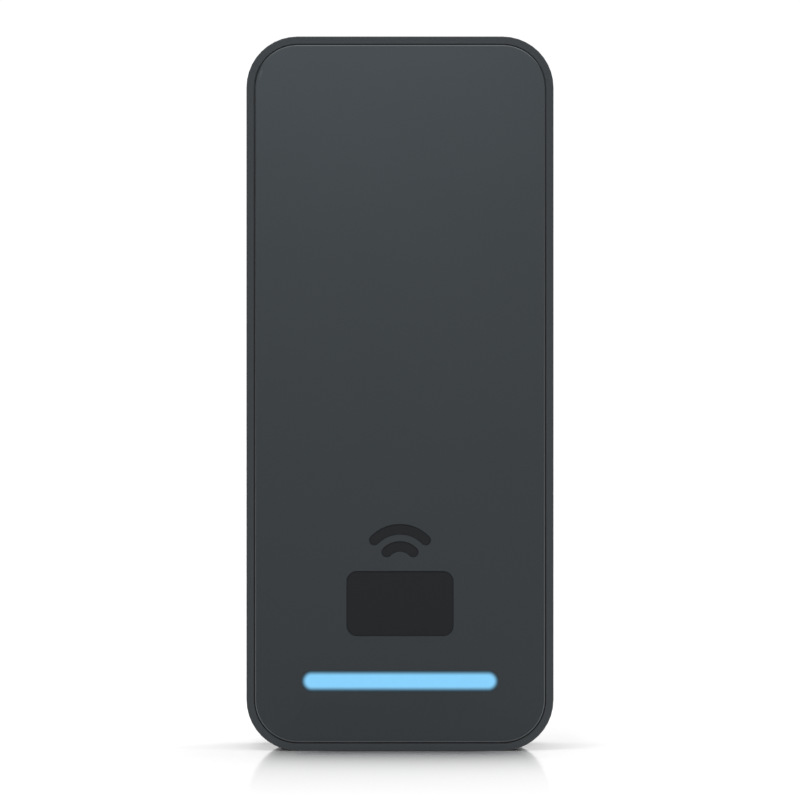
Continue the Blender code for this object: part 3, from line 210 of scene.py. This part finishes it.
class Graph:
    """A material's node tree, with short calls for the nodes used here."""

    def __init__(self, name):
        self.material = bpy.data.materials.new(name)
        self.material.use_nodes = True
        self.nodes = self.material.node_tree.nodes
        self.links = self.material.node_tree.links
        self.shader = self.nodes["Principled BSDF"]

    @classmethod
    def of(cls, material):
        """The same short calls, on a material that exists already."""
        graph = cls.__new__(cls)
        graph.material = material
        graph.nodes, graph.links = material.node_tree.nodes, material.node_tree.links
        graph.shader = graph.nodes["Principled BSDF"]
        return graph

    def node(self, kind, links=(), **values):
        """A node with attributes and input values set by name, then links as {input: socket}."""
        made = self.nodes.new(kind)
        for key, value in values.items():
            if hasattr(made, key):
                setattr(made, key, value)
            else:
                made.inputs[key.replace("_", " ").title()].default_value = value
        for key, socket in dict(links).items():
            self.links.new(socket, made.inputs[key])
        return made

    def place(self):
        """Coordinates in the object's own metres."""
        return self.node("ShaderNodeTexCoord").outputs["Object"]

    def noise(self, size, detail=2.0, roughness=0.5):
        """Noise from 0 to 1 whose features are about size across."""
        made = self.node("ShaderNodeTexNoise", {"Vector": self.place()}, scale=1 / size, detail=detail)
        made.inputs["Roughness"].default_value = roughness
        return made.outputs["Fac"]

    def streaks(self, sizes):
        """Noise from 0 to 1 whose features have these sizes along X, Y and Z."""
        mapping = self.node("ShaderNodeMapping", {"Vector": self.place()})
        mapping.inputs["Scale"].default_value = [1 / size for size in sizes]
        made = self.node("ShaderNodeTexNoise", {"Vector": mapping.outputs[0]}, scale=1.0, detail=3.0)
        return made.outputs["Fac"]

    def stretch(self, socket, low, high, new_low, new_high, smooth=False):
        """The range from low to high, drawn out to the one from new_low to new_high."""
        made = self.node("ShaderNodeMapRange", {"Value": socket})
        made.interpolation_type = "SMOOTHSTEP" if smooth else "LINEAR"
        for key, value in zip(("From Min", "From Max", "To Min", "To Max"), (low, high, new_low, new_high)):
            made.inputs[key].default_value = value
        return made.outputs["Result"]

    def vary(self, noise, low, high):
        """The usual span of a noise, drawn out to the range from low to high."""
        return self.stretch(noise, *NOISE_SPAN, low, high)

    def mix(self, factor, first, second):
        """One colour turning into the other. Each is a value or a socket."""
        made = self.node("ShaderNodeMix", {MIX_FACTOR: factor}, data_type="RGBA")
        for key, colour in ((MIX_FIRST, first), (MIX_SECOND, second)):
            if isinstance(colour, bpy.types.NodeSocket):
                self.links.new(colour, made.inputs[key])
            else:
                made.inputs[key].default_value = colour
        return made.outputs[MIX_RESULT]

    def maths(self, operation, *values):
        made = self.node("ShaderNodeMath", operation=operation)
        for i, value in enumerate(values):
            if isinstance(value, (int, float)):
                made.inputs[i].default_value = value
            else:
                self.links.new(value, made.inputs[i])
        return made.outputs[0]

    def length(self, *sides):
        """The long side of a right-angled triangle, from its two short ones."""
        squares = [self.maths("POWER", side, 2.0) for side in sides]
        return self.maths("SQRT", self.maths("ADD", *squares))

    def bump(self, height, strength, distance):
        made = self.node("ShaderNodeBump", {"Height": height})
        made.inputs["Strength"].default_value = strength
        made.inputs["Distance"].default_value = distance
        return made.outputs["Normal"]

    def set(self, **values):
        for key, value in values.items():
            name = key.replace("_", " ").title().replace("Ior", "IOR")
            if isinstance(value, bpy.types.NodeSocket):
                self.links.new(value, self.shader.inputs[name])
            else:
                self.shader.inputs[name].default_value = value


def moulded_plastic(
    name, colour, roughness, grain=0.14 * MM, depth=0.006 * MM, tone=0.05, specular=0.5, tint=None
):
    """Moulded plastic: fine spark-eroded grain, slow flow marks in tone, and gloss that varies with both."""
    g = Graph(name)
    flow = g.noise(FLOW_SIZE, 3.0)
    fine = g.noise(grain, 2.0, 0.6)
    g.set(base_color=g.mix(flow, shade(colour, 1 - tone), shade(colour, 1 + tone)))
    polish = g.maths("ADD", g.vary(flow, -0.025, 0.025), g.vary(fine, -0.03, 0.03))
    g.set(roughness=g.maths("ADD", polish, roughness), normal=g.bump(fine, 0.6, depth))
    g.set(specular_ior_level=specular)
    if tint:
        g.set(specular_tint=tint)
    return g.material


def cover_plastic(name, colour, roughness):
    """The same plastic with a finer, duller grain."""
    return moulded_plastic(name, colour, roughness, 0.12 * MM, 0.004 * MM, 0.03, specular=0.25, tint=COOL)


def polished_plastic(name, colour, roughness):
    """The same plastic where the tool is polished: little grain, and a bright clear skin."""
    material = moulded_plastic(name, colour, roughness, 0.3 * MM, 0.001 * MM, 0.03, specular=1.0, tint=COOL)
    Graph.of(material).set(coat_weight=0.45, coat_roughness=roughness, coat_ior=1.6)
    return material


def printed_label(name, colour, ink):
    """Polyester label film with a printed frame and blank ruled rows."""
    material = moulded_plastic(name, colour, 0.35, 0.3 * MM, 0.002 * MM, 0.03)
    g = Graph.of(material)
    axes = g.node("ShaderNodeSeparateXYZ", {"Vector": g.place()})
    half_width, half_height = (LABEL[1].x - LABEL[0].x) / 2, (LABEL[1].z - LABEL[0].z) / 2
    up = g.maths("SUBTRACT", axes.outputs["Z"], (LABEL[0].z + LABEL[1].z) / 2)
    beside = g.maths("SUBTRACT", half_width, g.maths("ABSOLUTE", axes.outputs["X"]))
    inset = g.maths("MINIMUM", beside, g.maths("SUBTRACT", half_height, g.maths("ABSOLUTE", up)))
    outside = g.stretch(inset, *LABEL_FRAME_OUTER, 0.0, 1.0)
    frame_line = g.maths("MULTIPLY", outside, g.stretch(inset, *LABEL_FRAME_INNER, 1.0, 0.0))
    rows = g.stretch(g.maths("PINGPONG", up, LABEL_ROW_HALF), *LABEL_ROW_LINE, 1.0, 0.0)
    rules = g.maths("MULTIPLY", rows, g.stretch(inset, *LABEL_ROWS_EDGE, 0.0, 1.0))
    paper = g.shader.inputs["Base Color"].links[0].from_socket
    g.set(base_color=g.mix(g.maths("MAXIMUM", frame_line, rules), paper, shade(ink)))
    return material


def metal(name, colour, roughness, brushed=None, tone=0.12):
    """Bare or plated metal. brushed is the direction the grain runs along, as an axis letter."""
    g = Graph(name)
    if brushed:
        sizes = [0.12 * MM] * 3
        sizes["XYZ".index(brushed)] = 6 * MM
        grain = g.streaks(sizes)
    else:
        grain = g.noise(0.25 * MM, 3.0, 0.65)
    patches = g.noise(5 * MM, 4.0, 0.6)
    g.set(base_color=g.mix(patches, shade(colour, 1 - tone), shade(colour, 1 + tone)), metallic=1.0)
    polish = g.maths("ADD", g.vary(grain, -0.07, 0.07), g.vary(patches, -0.05, 0.05))
    g.set(roughness=g.maths("ADD", polish, roughness), normal=g.bump(grain, 0.35, 0.006 * MM))
    return g.material


def zinc_plate():
    """Zinc-plated sheet: soft crystal spangle in tone and gloss, with fine rolling lines along its height."""
    g = Graph("zinc_plated_sheet")
    cells = g.node("ShaderNodeTexVoronoi", {"Vector": g.place()}, scale=1 / (3.2 * MM))
    spangle = g.node("ShaderNodeSeparateColor", {"Color": cells.outputs["Color"]}).outputs[0]
    rolling = g.streaks((0.15 * MM, 0.15 * MM, 9 * MM))
    cloud = g.noise(9 * MM, 4.0, 0.6)
    tone = g.maths("ADD", g.maths("MULTIPLY", spangle, 0.45), g.maths("MULTIPLY", cloud, 0.55))
    g.set(base_color=g.mix(tone, shade((150, 153, 155)), shade((182, 185, 186))), metallic=1.0)
    gloss = g.maths("ADD", g.stretch(spangle, 0, 1, 0.28, 0.42), g.vary(rolling, -0.05, 0.05))
    g.set(roughness=gloss, normal=g.bump(rolling, 0.3, 0.005 * MM))
    return g.material


def rubber():
    g = Graph("silicone_rubber")
    grain = g.noise(0.2 * MM, 3.0, 0.7)
    dust = g.noise(4 * MM, 3.0)
    g.set(base_color=g.mix(dust, shade((24, 26, 28)), shade((38, 42, 44))))
    g.set(roughness=g.vary(grain, 0.72, 0.88), normal=g.bump(grain, 0.5, 0.01 * MM))
    g.set(specular_ior_level=0.35, specular_tint=COOL)
    return g.material


def circuit_board():
    """Green solder mask with tracks under it: a weave of glass and raised copper lines."""
    g = Graph("solder_mask")
    place = g.place()
    weave = g.node("ShaderNodeTexWave", {"Vector": place}, scale=1 / (2.2 * MM), distortion=0.6)
    tracks = g.node("ShaderNodeTexBrick", {"Vector": place}, scale=1 / (3 * MM))
    copper = g.stretch(tracks.outputs["Fac"], 0.4, 0.6, 0, 1)
    tone = g.maths("MULTIPLY", g.noise(6 * MM, 3.0), 0.8)
    base = g.mix(tone, shade((14, 52, 32)), shade((26, 78, 48)))
    g.set(base_color=base, roughness=g.vary(g.noise(0.6 * MM), 0.28, 0.4))
    height = g.maths("ADD", g.maths("MULTIPLY", weave.outputs["Fac"], 0.3), copper)
    g.set(normal=g.bump(height, 0.4, 0.02 * MM), coat_weight=0.4, coat_roughness=0.15)
    return g.material


def frosted_lens(core_colour, rim_colour):
    """Milky diffuser: lit evenly in the middle, with the light dying away towards its edge."""
    g = Graph("lit_diffuser")
    axes = g.node("ShaderNodeSeparateXYZ", {"Vector": g.place()})
    along = g.maths("SUBTRACT", g.maths("ABSOLUTE", axes.outputs["X"]), (BAR_WIDTH - BAR_HEIGHT) / 2)
    along = g.maths("MAXIMUM", along, 0.0)
    up = g.maths("ABSOLUTE", g.maths("SUBTRACT", axes.outputs["Z"], BAR_Z))
    glow = g.stretch(g.length(along, up), *GLOW_RADII, 1.0, 0.0, smooth=True)
    milk = g.noise(1.2 * MM, 2.0)
    glow = g.maths("MULTIPLY", glow, g.vary(milk, 0.985, 1.01))
    g.set(base_color=shade(rim_colour), roughness=g.vary(milk, 0.4, 0.5))
    g.set(emission_color=shade(core_colour), emission_strength=g.maths("MULTIPLY", glow, 0.93))
    g.set(normal=g.bump(g.noise(0.2 * MM), 0.3, 0.004 * MM), specular_ior_level=0.3)
    return g.material


def clear_acrylic():
    g = Graph("clear_acrylic")
    g.set(base_color=shade((228, 236, 240)), transmission_weight=0.85, ior=1.49)
    g.set(roughness=g.vary(g.noise(0.5 * MM), 0.04, 0.12))
    return g.material


def ferrite():
    g = Graph("sintered_ferrite")
    grain = g.noise(0.18 * MM, 4.0, 0.75)
    g.set(base_color=g.mix(g.noise(2 * MM, 3.0), shade((44, 42, 42)), shade((66, 63, 62))))
    g.set(roughness=g.vary(grain, 0.5, 0.75), normal=g.bump(grain, 0.7, 0.015 * MM))
    return g.material


def make_materials():
    return {
        "shell": moulded_plastic("shell_plastic", (22, 25, 27), 0.4, specular=0.7, tint=COOL),
        "cover": cover_plastic("cover_plastic", (43, 47, 49.5), 0.4),
        "chamfer": polished_plastic("chamfer_plastic", (12, 13, 14), 0.2),
        "emblem": moulded_plastic("emblem_plastic", (31, 32, 34), 0.55, 0.1 * MM, 0.003 * MM, 0.03, 0.1),
        "lens": frosted_lens((132, 208, 252), (40, 60, 72)),
        "clear": clear_acrylic(),
        "white": moulded_plastic("white_plastic", (226, 226, 220), 0.5),
        "rubber": rubber(),
        "board": circuit_board(),
        "copper": metal("copper_track", (206, 130, 88), 0.3),
        "ferrite": ferrite(),
        "chip": moulded_plastic("epoxy_package", (32, 33, 35), 0.55, 0.1 * MM),
        "plastic": moulded_plastic("black_plastic", (24, 25, 27), 0.45),
        "tin": metal("tinned_sheet", (200, 201, 202), 0.3, "Z"),
        "gold": metal("gold_wire", (220, 178, 98), 0.2),
        "steel": metal("stainless_steel", (168, 169, 171), 0.3),
        "plate": zinc_plate(),
        "spring": metal("spring_wire", (178, 180, 182), 0.25),
        "label": printed_label("label_film", (196, 198, 199), (58, 60, 63)),
    }


# ---------------------------------------------------------------- outlines and meshes


def arc(centre, radius, start, end, steps):
    """Points along an arc, angles in degrees, both ends included."""
    turns = (start + (end - start) * i / steps for i in range(steps + 1))
    angles = [math.radians(turn) for turn in turns]
    return [(centre[0] + radius * math.cos(a), centre[1] + radius * math.sin(a)) for a in angles]


def rounded_rectangle(width, height, radius, centre=(0, 0), steps=16):
    points = []
    for quarter, (side, end) in enumerate(((1, 1), (-1, 1), (-1, -1), (1, -1))):
        middle = (centre[0] + side * (width / 2 - radius), centre[1] + end * (height / 2 - radius))
        points += arc(middle, radius, 90 * quarter, 90 * quarter + 90, steps)
    return points


def stadium(width, height, centre=(0, 0), steps=24):
    half = (width - height) / 2
    right = arc((centre[0] + half, centre[1]), height / 2, -90, 90, steps)
    return right + arc((centre[0] - half, centre[1]), height / 2, 90, 270, steps)


def arc_band(centre, radius, stroke, half_angle, steps=32, tip_steps=14):
    """A stroke along an arc about the upward direction, with round ends."""
    start, end = 90 - half_angle, 90 + half_angle
    outer = arc(centre, radius + stroke / 2, start, end, steps)
    inner = arc(centre, radius - stroke / 2, end, start, steps)
    tips = [arc(centre, radius, angle, angle, 1)[0] for angle in (end, start)]
    left = arc(tips[0], stroke / 2, end, end + 180, tip_steps)[1:-1]
    right = arc(tips[1], stroke / 2, start - 180, start, tip_steps)[1:-1]
    return outer + left + inner + right


def body_outline(inset, steps=24):
    return rounded_rectangle(WIDTH - 2 * inset, HEIGHT - 2 * inset, BODY_RADIUS - inset, steps=steps)


def loft(name, loops, finish=None, closed=False, sharp=35):
    """A solid skinned over equal loops of points."""
    shape = bmesh.new()
    rows = [[shape.verts.new(point) for point in loop] for loop in loops]
    pairs = list(zip(rows, rows[1:]))
    if closed:
        pairs.append((rows[-1], rows[0]))
    for low, high in pairs:
        for i in range(len(low)):
            shape.faces.new((low[i - 1], low[i], high[i], high[i - 1]))
    if not closed:
        shape.faces.new(rows[0])
        shape.faces.new(rows[-1])
    bmesh.ops.recalc_face_normals(shape, faces=shape.faces)
    mesh = bpy.data.meshes.new(name)
    shape.to_mesh(mesh)
    shape.free()
    mesh.shade_smooth()
    mesh.set_sharp_from_angle(angle=math.radians(sharp))
    made = bpy.data.objects.new(name, mesh)
    bpy.context.scene.collection.objects.link(made)
    if finish:
        mesh.materials.append(finish)
    return made


def prism(name, outline, low, high, finish=None):
    return loft(name, [[(x, y, z) for x, z in outline] for y in (low, high)], finish)


def apply_modifiers(obj):
    """Replaces the object's mesh by its evaluated one."""
    graph = bpy.context.evaluated_depsgraph_get()
    mesh = bpy.data.meshes.new_from_object(obj.evaluated_get(graph))
    obj.modifiers.clear()
    obj.data = mesh


def weigh_normals(obj, angle=30):
    """Shades flat faces flat and rounded edges smooth."""
    obj.data.set_sharp_from_angle(angle=math.radians(angle))
    step = obj.modifiers.new("face_weighted", "WEIGHTED_NORMAL")
    step.keep_sharp = True
    step.weight = 100


def carve(target, tools, operation="DIFFERENCE"):
    """Cuts the tools from target, or joins them to it, and removes them."""
    for tool in tools:
        step = target.modifiers.new("carve", "BOOLEAN")
        step.operation = operation
        step.object = tool
    apply_modifiers(target)
    for tool in tools:
        bpy.data.objects.remove(tool)


def round_holes(obj, width):
    """Rounds the sharp edges of what was cut, and leaves gentler curves as they are."""
    whole = obj.modifiers.new("whole_faces", "DECIMATE")
    whole.decimate_type = "DISSOLVE"
    whole.angle_limit = math.radians(0.2)
    step = obj.modifiers.new("hole_edges", "BEVEL")
    step.width = width
    step.segments = 2
    step.limit_method = "ANGLE"
    step.angle_limit = math.radians(60)
    apply_modifiers(obj)
    obj.data.shade_smooth()
    weigh_normals(obj, 50)


def weld(obj):
    """Joins a CAD node's triangles, which come in one by one, at their shared corners."""
    step = obj.modifiers.new("joined_corners", "WELD")
    step.merge_threshold = WELD_DISTANCE


def soften(obj, width):
    """Rounds a CAD node's true edges by modifiers, once its flat faces are whole again."""
    weld(obj)
    whole = obj.modifiers.new("whole_faces", "DECIMATE")
    whole.decimate_type = "DISSOLVE"
    whole.angle_limit = math.radians(0.5)
    step = obj.modifiers.new("soft_edges", "BEVEL")
    step.width = width
    step.segments = 2
    step.limit_method = "ANGLE"
    step.angle_limit = math.radians(28)
    step.use_clamp_overlap = True
    weigh_normals(obj, 50)


# ---------------------------------------------------------------- front


def emblem_outlines(grow=0.0):
    card = rounded_rectangle(CARD_WIDTH + 2 * grow, CARD_HEIGHT + 2 * grow, CARD_RADIUS + grow, (0, CARD_Z))
    stroke = WAVE_STROKE + 2 * grow
    waves = [arc_band((0, WAVE_CENTRE_Z), radius, stroke, WAVE_HALF_ANGLE) for radius in WAVE_RADII]
    return [card, *waves]


def crowned_sections():
    """(y, inset) down the cover's edge: the flat, the falling crown, the bright chamfer, then the side."""
    crown_inset, crown_y = COVER_INSET + CHAMFER_WIDTH, FRONT_Y + CROWN_DROP
    sections = []
    for i in range(CROWN_STEPS + 1):
        share = i / CROWN_STEPS
        sections.append((FRONT_Y + CROWN_DROP * share**2, crown_inset + CROWN_WIDTH * (1 - share)))
    sections.append((crown_y + 0.3 * CHAMFER_EASE, crown_inset - CHAMFER_EASE))
    sections.append((crown_y + CHAMFER_DROP, COVER_INSET + CHAMFER_EASE))
    sections.append((crown_y + CHAMFER_DROP + CHAMFER_EASE, COVER_INSET))
    return sections + [(COVER_BACK_Y, COVER_INSET)]


def make_cover(finishes):
    loops = [[(x, y, z) for x, z in body_outline(inset, steps=32)] for y, inset in crowned_sections()]
    cover = loft("front_panel", loops, finishes["cover"])
    cover.data.materials.append(finishes["chamfer"])
    band = len(loops[0])
    for face in cover.data.polygons[CROWN_STEPS * band : (CROWN_STEPS + CHAMFER_BANDS) * band]:
        face.material_index = 1
    reach = (FRONT_Y - CUT_PAST, COVER_BACK_Y + CUT_PAST)
    tools = [prism(f"slot_{i}", outline, *reach) for i, outline in enumerate(emblem_outlines(SLOT_GROWTH))]
    carve(cover, tools)
    round_holes(cover, SLOT_EDGE)
    apply_modifiers(cover)
    bar = stadium(BAR_WIDTH + 2 * HAIRLINE, BAR_HEIGHT + 2 * HAIRLINE, (0, BAR_Z))
    carve(cover, [prism("bar_slot", bar, *reach)])
    weigh_normals(cover, 50)
    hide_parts("front_cover")
    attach(cover, "reader")


def make_emblem(finish):
    """The pictogram of a card with two radio waves above it, standing in the cover's openings."""
    low, high = EMBLEM
    plate = [(low.x, low.z), (high.x, low.z), (high.x, high.z), (low.x, high.z)]
    insert = prism("emblem", plate, INSERT_Y, INSERT_Y + EMBLEM_PLATE, finish)
    tools = []
    for i, outline in enumerate(emblem_outlines(EMBLEM_GROWTH)):
        tools.append(prism(f"raised_{i}", outline, low.y, INSERT_Y + INSERT_OVERLAP))
    carve(insert, tools, "UNION")
    weigh_normals(insert, 30)
    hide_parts("emblem_insert")
    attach(insert, "reader")


def make_status_bar(finish):
    """The lit bar: a round-ended window that fills its slot, on a flange behind the cover."""
    width, height = LENS[1].x - LENS[0].x, LENS[1].z - LENS[0].z
    flange = rounded_rectangle(width, height, BAR_FLANGE_RADIUS, (0, BAR_Z), steps=8)
    bar = prism("status_bar", flange, INSERT_Y, INSERT_Y + BAR_FLANGE, finish)
    window = stadium(BAR_WIDTH, BAR_HEIGHT, (0, BAR_Z))
    carve(bar, [prism("window", window, LENS[0].y, INSERT_Y + INSERT_OVERLAP)], "UNION")
    weigh_normals(bar, 30)
    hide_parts("light_bar_lens")
    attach(bar, "reader")


def make_seal(finish):
    """The seal under the cover, with a lip that fills the reveal between the cover and the rim."""
    seal_front, seal_back = (corner.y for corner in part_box("front_seal"))
    outer, middle, inner = RIM_WIDTH + HAIRLINE, COVER_INSET - HAIRLINE, SEAL_INNER_INSET
    section = (
        (FRONT_Y + SEAL_DEPTH, outer),
        (FRONT_Y + SEAL_DEPTH, middle),
        (seal_front, middle),
        (seal_front, inner),
        (seal_back, inner),
        (seal_back, outer),
    )
    loops = [[(x, y, z) for x, z in body_outline(inset)] for y, inset in section]
    seal = loft("reveal_seal", loops, finish, closed=True)
    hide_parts("front_seal")
    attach(seal, "reader")


# ---------------------------------------------------------------- screw and springs


def around(centre, radii):
    """Points evenly round a centre, each at its own distance from it."""
    points = []
    for i, radius in enumerate(radii):
        angle = 2 * math.pi * i / len(radii)
        points.append((centre[0] + radius * math.cos(angle), centre[1] + radius * math.sin(angle)))
    return points


def circle(radius, centre, steps):
    return around(centre, [radius] * steps)


def upright(name, sections, finish=None):
    """A solid skinned over (z, outline) sections, whose outlines are points in X and Y."""
    return loft(name, [[(x, y, z) for x, y in outline] for z, outline in sections], finish, sharp=50)


def threaded(z, centre):
    """One section of a right-hand thread: its radius rises and falls once round the shank."""
    shares = [(z / THREAD_PITCH - i / SCREW_STEPS) % 1.0 for i in range(SCREW_STEPS)]
    return around(centre, [SHANK_RADIUS - THREAD_DEPTH * abs(2 * share - 1) for share in shares])


def lobed(centre):
    """The recess's outline: a circle that swells and narrows once for each lobe."""
    turns = [2 * math.pi * LOBE_COUNT * i / LOBE_STEPS for i in range(LOBE_STEPS)]
    return around(centre, [LOBE_RADIUS + LOBE_RISE * math.cos(turn) for turn in turns])


def make_screw(finish):
    """Captive machine screw: round-edged head with a six-lobed recess round a pin, and a rolled thread."""
    low, high = SCREW
    centre = ((low.x + high.x) / 2, (low.y + high.y) / 2)
    head_radius = (high.x - low.x) / 2
    seat, neck = low.z + HEAD_HEIGHT, low.z + HEAD_HEIGHT + THREAD_PITCH
    sections = []
    for rise, reach in arc((HEAD_EDGE, head_radius - HEAD_EDGE), HEAD_EDGE, 180, 90, HEAD_STEPS):
        sections.append((low.z + rise, circle(reach, centre, SCREW_STEPS)))
    sections.append((seat - SEAT_BREAK, circle(head_radius, centre, SCREW_STEPS)))
    sections.append((seat, circle(head_radius - SEAT_BREAK, centre, SCREW_STEPS)))
    sections.append((seat, circle(SHANK_RADIUS - THREAD_DEPTH, centre, SCREW_STEPS)))
    end = high.z - TIP_CHAMFER
    count = round((end - neck) / THREAD_PITCH * THREAD_STEPS)
    for i in range(count + 1):
        z = neck + (end - neck) * i / count
        sections.append((z, threaded(z, centre)))
    sections.append((high.z, circle(SHANK_RADIUS - TIP_CHAMFER, centre, SCREW_STEPS)))
    screw = upright("bottom_screw", sections, finish)
    floor = low.z + LOBE_DEPTH
    carve(screw, [upright("recess", [(low.z - CUT_PAST, lobed(centre)), (floor, lobed(centre))])])
    pin = [(low.z + PIN_SHY + rise, circle(share * PIN_RADIUS, centre, PIN_STEPS)) for rise, share in PIN_TIP]
    pin.append((floor + PIN_ROOT, circle(PIN_RADIUS, centre, PIN_STEPS)))
    carve(screw, [upright("pin", pin)], "UNION")
    weigh_normals(screw, 40)
    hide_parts("security_screw")
    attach(screw, "security_screw")


def make_spring(name, node, finish):
    """A round-wire coil with closed ends."""
    low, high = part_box(node)
    axis = ((low.x + high.x) / 2, (low.z + high.z) / 2)
    start, end = low.y + SPRING_WIRE / 2, high.y - SPRING_WIRE / 2
    count = round(SPRING_TURNS * SPRING_STEPS)
    loops = []
    for i in range(count + 1):
        turns = SPRING_TURNS * i / count
        rise = min(max((turns - 1) / (SPRING_TURNS - 2), 0.0), 1.0)
        closed = SPRING_WIRE * (min(turns, 1.0) + max(turns - SPRING_TURNS + 1, 0.0))
        depth = start + closed + (end - start - 2 * SPRING_WIRE) * rise
        angle = 2 * math.pi * turns
        loop = []
        for out, up in circle(SPRING_WIRE / 2, (0, 0), WIRE_SIDES):
            reach = SPRING_RADIUS + out
            y = min(max(depth + up, low.y), high.y)
            loop.append((axis[0] + reach * math.cos(angle), y, axis[1] + reach * math.sin(angle)))
        loops.append(loop)
    coil = loft(name, loops, finish, sharp=60)
    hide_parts(node)
    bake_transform(coil)


# ---------------------------------------------------------------- CAD nodes


def finish_nodes(finishes):
    """Gives each CAD node its slot's material, and rounds the edges of those that show."""
    slots = {row["node"]: row["material_slot"] for row in frame["record"]["subparts"]}
    for name, node in NODES.items():
        node.data.materials.clear()
        node.data.materials.append(finishes[slots[name]])
        node.data.shade_smooth()
        if name in EDGE_WIDTHS:
            soften(node, EDGE_WIDTHS[name])
        else:
            weld(node)
            step = node.modifiers.new("sharp_edges", "EDGE_SPLIT")
            step.split_angle = math.radians(30)


# ---------------------------------------------------------------- stage


def make_floor():
    """Pale gloss floor that mirrors the reader close by and turns plain white further out."""
    size, z = FLOOR_HALF_SIZE, BASE_Z - FLOOR_GAP
    mesh = bpy.data.meshes.new("floor")
    corners = [(-size, -size, z), (size, -size, z), (size, size, z), (-size, size, z)]
    mesh.from_pydata(corners, [], [(0, 1, 2, 3)])
    floor = bpy.data.objects.new("floor", mesh)
    bpy.context.scene.collection.objects.link(floor)
    g = Graph("floor_white")
    g.set(base_color=(FLOOR_WHITE, FLOOR_WHITE, FLOOR_WHITE, 1.0), roughness=0.5, specular_ior_level=0.0)
    axes = g.node("ShaderNodeSeparateXYZ", {"Vector": g.place()})
    beside = g.maths("SUBTRACT", g.maths("ABSOLUTE", axes.outputs["X"]), FOOT_HALF_WIDTH)
    beside = g.maths("MAXIMUM", beside, 0.0)
    ahead = g.maths("SUBTRACT", FRONT_Y, axes.outputs["Y"])
    before = g.maths("MAXIMUM", ahead, 0.0)
    behind = g.maths("MAXIMUM", g.maths("MULTIPLY", ahead, -MIRROR_BEHIND), 0.0)
    away = g.maths("ADD", g.length(beside, before), behind)
    fade = g.maths("EXPONENT", g.maths("MULTIPLY", away, -1 / MIRROR_REACH))
    mirror = g.node("ShaderNodeBsdfAnisotropic", distribution="GGX")
    mirror.inputs["Roughness"].default_value = MIRROR_ROUGHNESS
    mirror.inputs["Color"].default_value = (1, 1, 1, 1)
    seen = g.node("ShaderNodeLightPath").outputs["Is Camera Ray"]
    share = g.maths("MULTIPLY", g.maths("MULTIPLY", fade, MIRROR_SHARE), seen)
    both = g.node("ShaderNodeMixShader", {0: share, 1: g.shader.outputs[0], 2: mirror.outputs[0]})
    g.links.new(both.outputs[0], g.nodes["Material Output"].inputs["Surface"])
    mesh.materials.append(g.material)


def make_key_light():
    """Soft light on the upper front, which makes no highlight of its own."""
    data = bpy.data.lights.new("key", "AREA")
    data.shape = "RECTANGLE"
    data.size, data.size_y = KEY_SIZE
    data.energy = KEY_POWER
    data.spread = math.radians(KEY_SPREAD)
    lamp = bpy.data.objects.new("key", data)
    lamp.location = KEY_PLACE
    lamp.rotation_euler = (Vector(KEY_TARGET) - Vector(KEY_PLACE)).to_track_quat("-Z", "Y").to_euler()
    lamp.visible_glossy = False
    bpy.context.scene.collection.objects.link(lamp)


def make_world():
    """White to the camera. To the light it is a soft studio: bright above and behind, dim in front."""
    world = bpy.data.worlds.new("studio")
    bpy.context.scene.world = world
    world.use_nodes = True
    nodes, links = world.node_tree.nodes, world.node_tree.links

    def ramp(socket, low, high, top):
        made = nodes.new("ShaderNodeMapRange")
        made.interpolation_type = "SMOOTHSTEP"
        for key, value in zip(("From Min", "From Max", "To Min", "To Max"), (low, high, 0.0, top)):
            made.inputs[key].default_value = value
        links.new(socket, made.inputs["Value"])
        return made.outputs["Result"]

    axes = nodes.new("ShaderNodeSeparateXYZ")
    links.new(nodes.new("ShaderNodeTexCoord").outputs["Generated"], axes.inputs[0])
    total = None
    for axis, low, high, strength in WORLD_TERMS:
        summed = nodes.new("ShaderNodeMath")
        links.new(ramp(axes.outputs[axis], low, high, strength), summed.inputs[0])
        summed.inputs[1].default_value = WORLD_BASE
        if total:
            links.new(total, summed.inputs[1])
        total = summed.outputs[0]
    links.new(total, nodes["Background"].inputs["Strength"])
    nodes["Background"].inputs["Color"].default_value = (1, 1, 1, 1)
    seen = nodes.new("ShaderNodeBackground")
    seen.inputs["Color"].default_value = (1, 1, 1, 1)
    seen.inputs["Strength"].default_value = BACKDROP_STRENGTH
    path = nodes.new("ShaderNodeLightPath")
    both = nodes.new("ShaderNodeMixShader")
    links.new(path.outputs["Is Camera Ray"], both.inputs[0])
    links.new(nodes["Background"].outputs[0], both.inputs[1])
    links.new(seen.outputs[0], both.inputs[2])
    links.new(both.outputs[0], nodes["World Output"].inputs["Surface"])


def make_camera():
    """Straight on and level."""
    data = bpy.data.cameras.new("camera")
    data.sensor_width = SENSOR_WIDTH
    data.lens = data.sensor_width * CAMERA_DISTANCE * SHARE_OF_PICTURE / HEIGHT
    data.clip_start, data.clip_end = 0.01, 50
    camera = bpy.data.objects.new("camera", data)
    middle = (HOUSING[0].z + HOUSING[1].z) / 2
    below = RAISED_IN_PICTURE * HEIGHT / SHARE_OF_PICTURE
    camera.location = (0, FRONT_Y - CAMERA_DISTANCE, middle - below)
    camera.rotation_euler = (math.radians(90), 0, 0)
    bpy.context.scene.collection.objects.link(camera)
    bpy.context.scene.camera = camera


def main():
    finishes = make_materials()
    finish_nodes(finishes)
    make_cover(finishes)
    make_emblem(finishes["emblem"])
    make_status_bar(finishes["lens"])
    make_seal(finishes["rubber"])
    make_screw(finishes["steel"])
    make_spring("reset_coil", "reset_spring", finishes["spring"])
    make_spring("tamper_coil", "tamper_spring", finishes["spring"])
    make_floor()
    make_world()
    make_key_light()
    make_camera()
    bpy.context.scene.view_settings.view_transform = "Standard"


main()
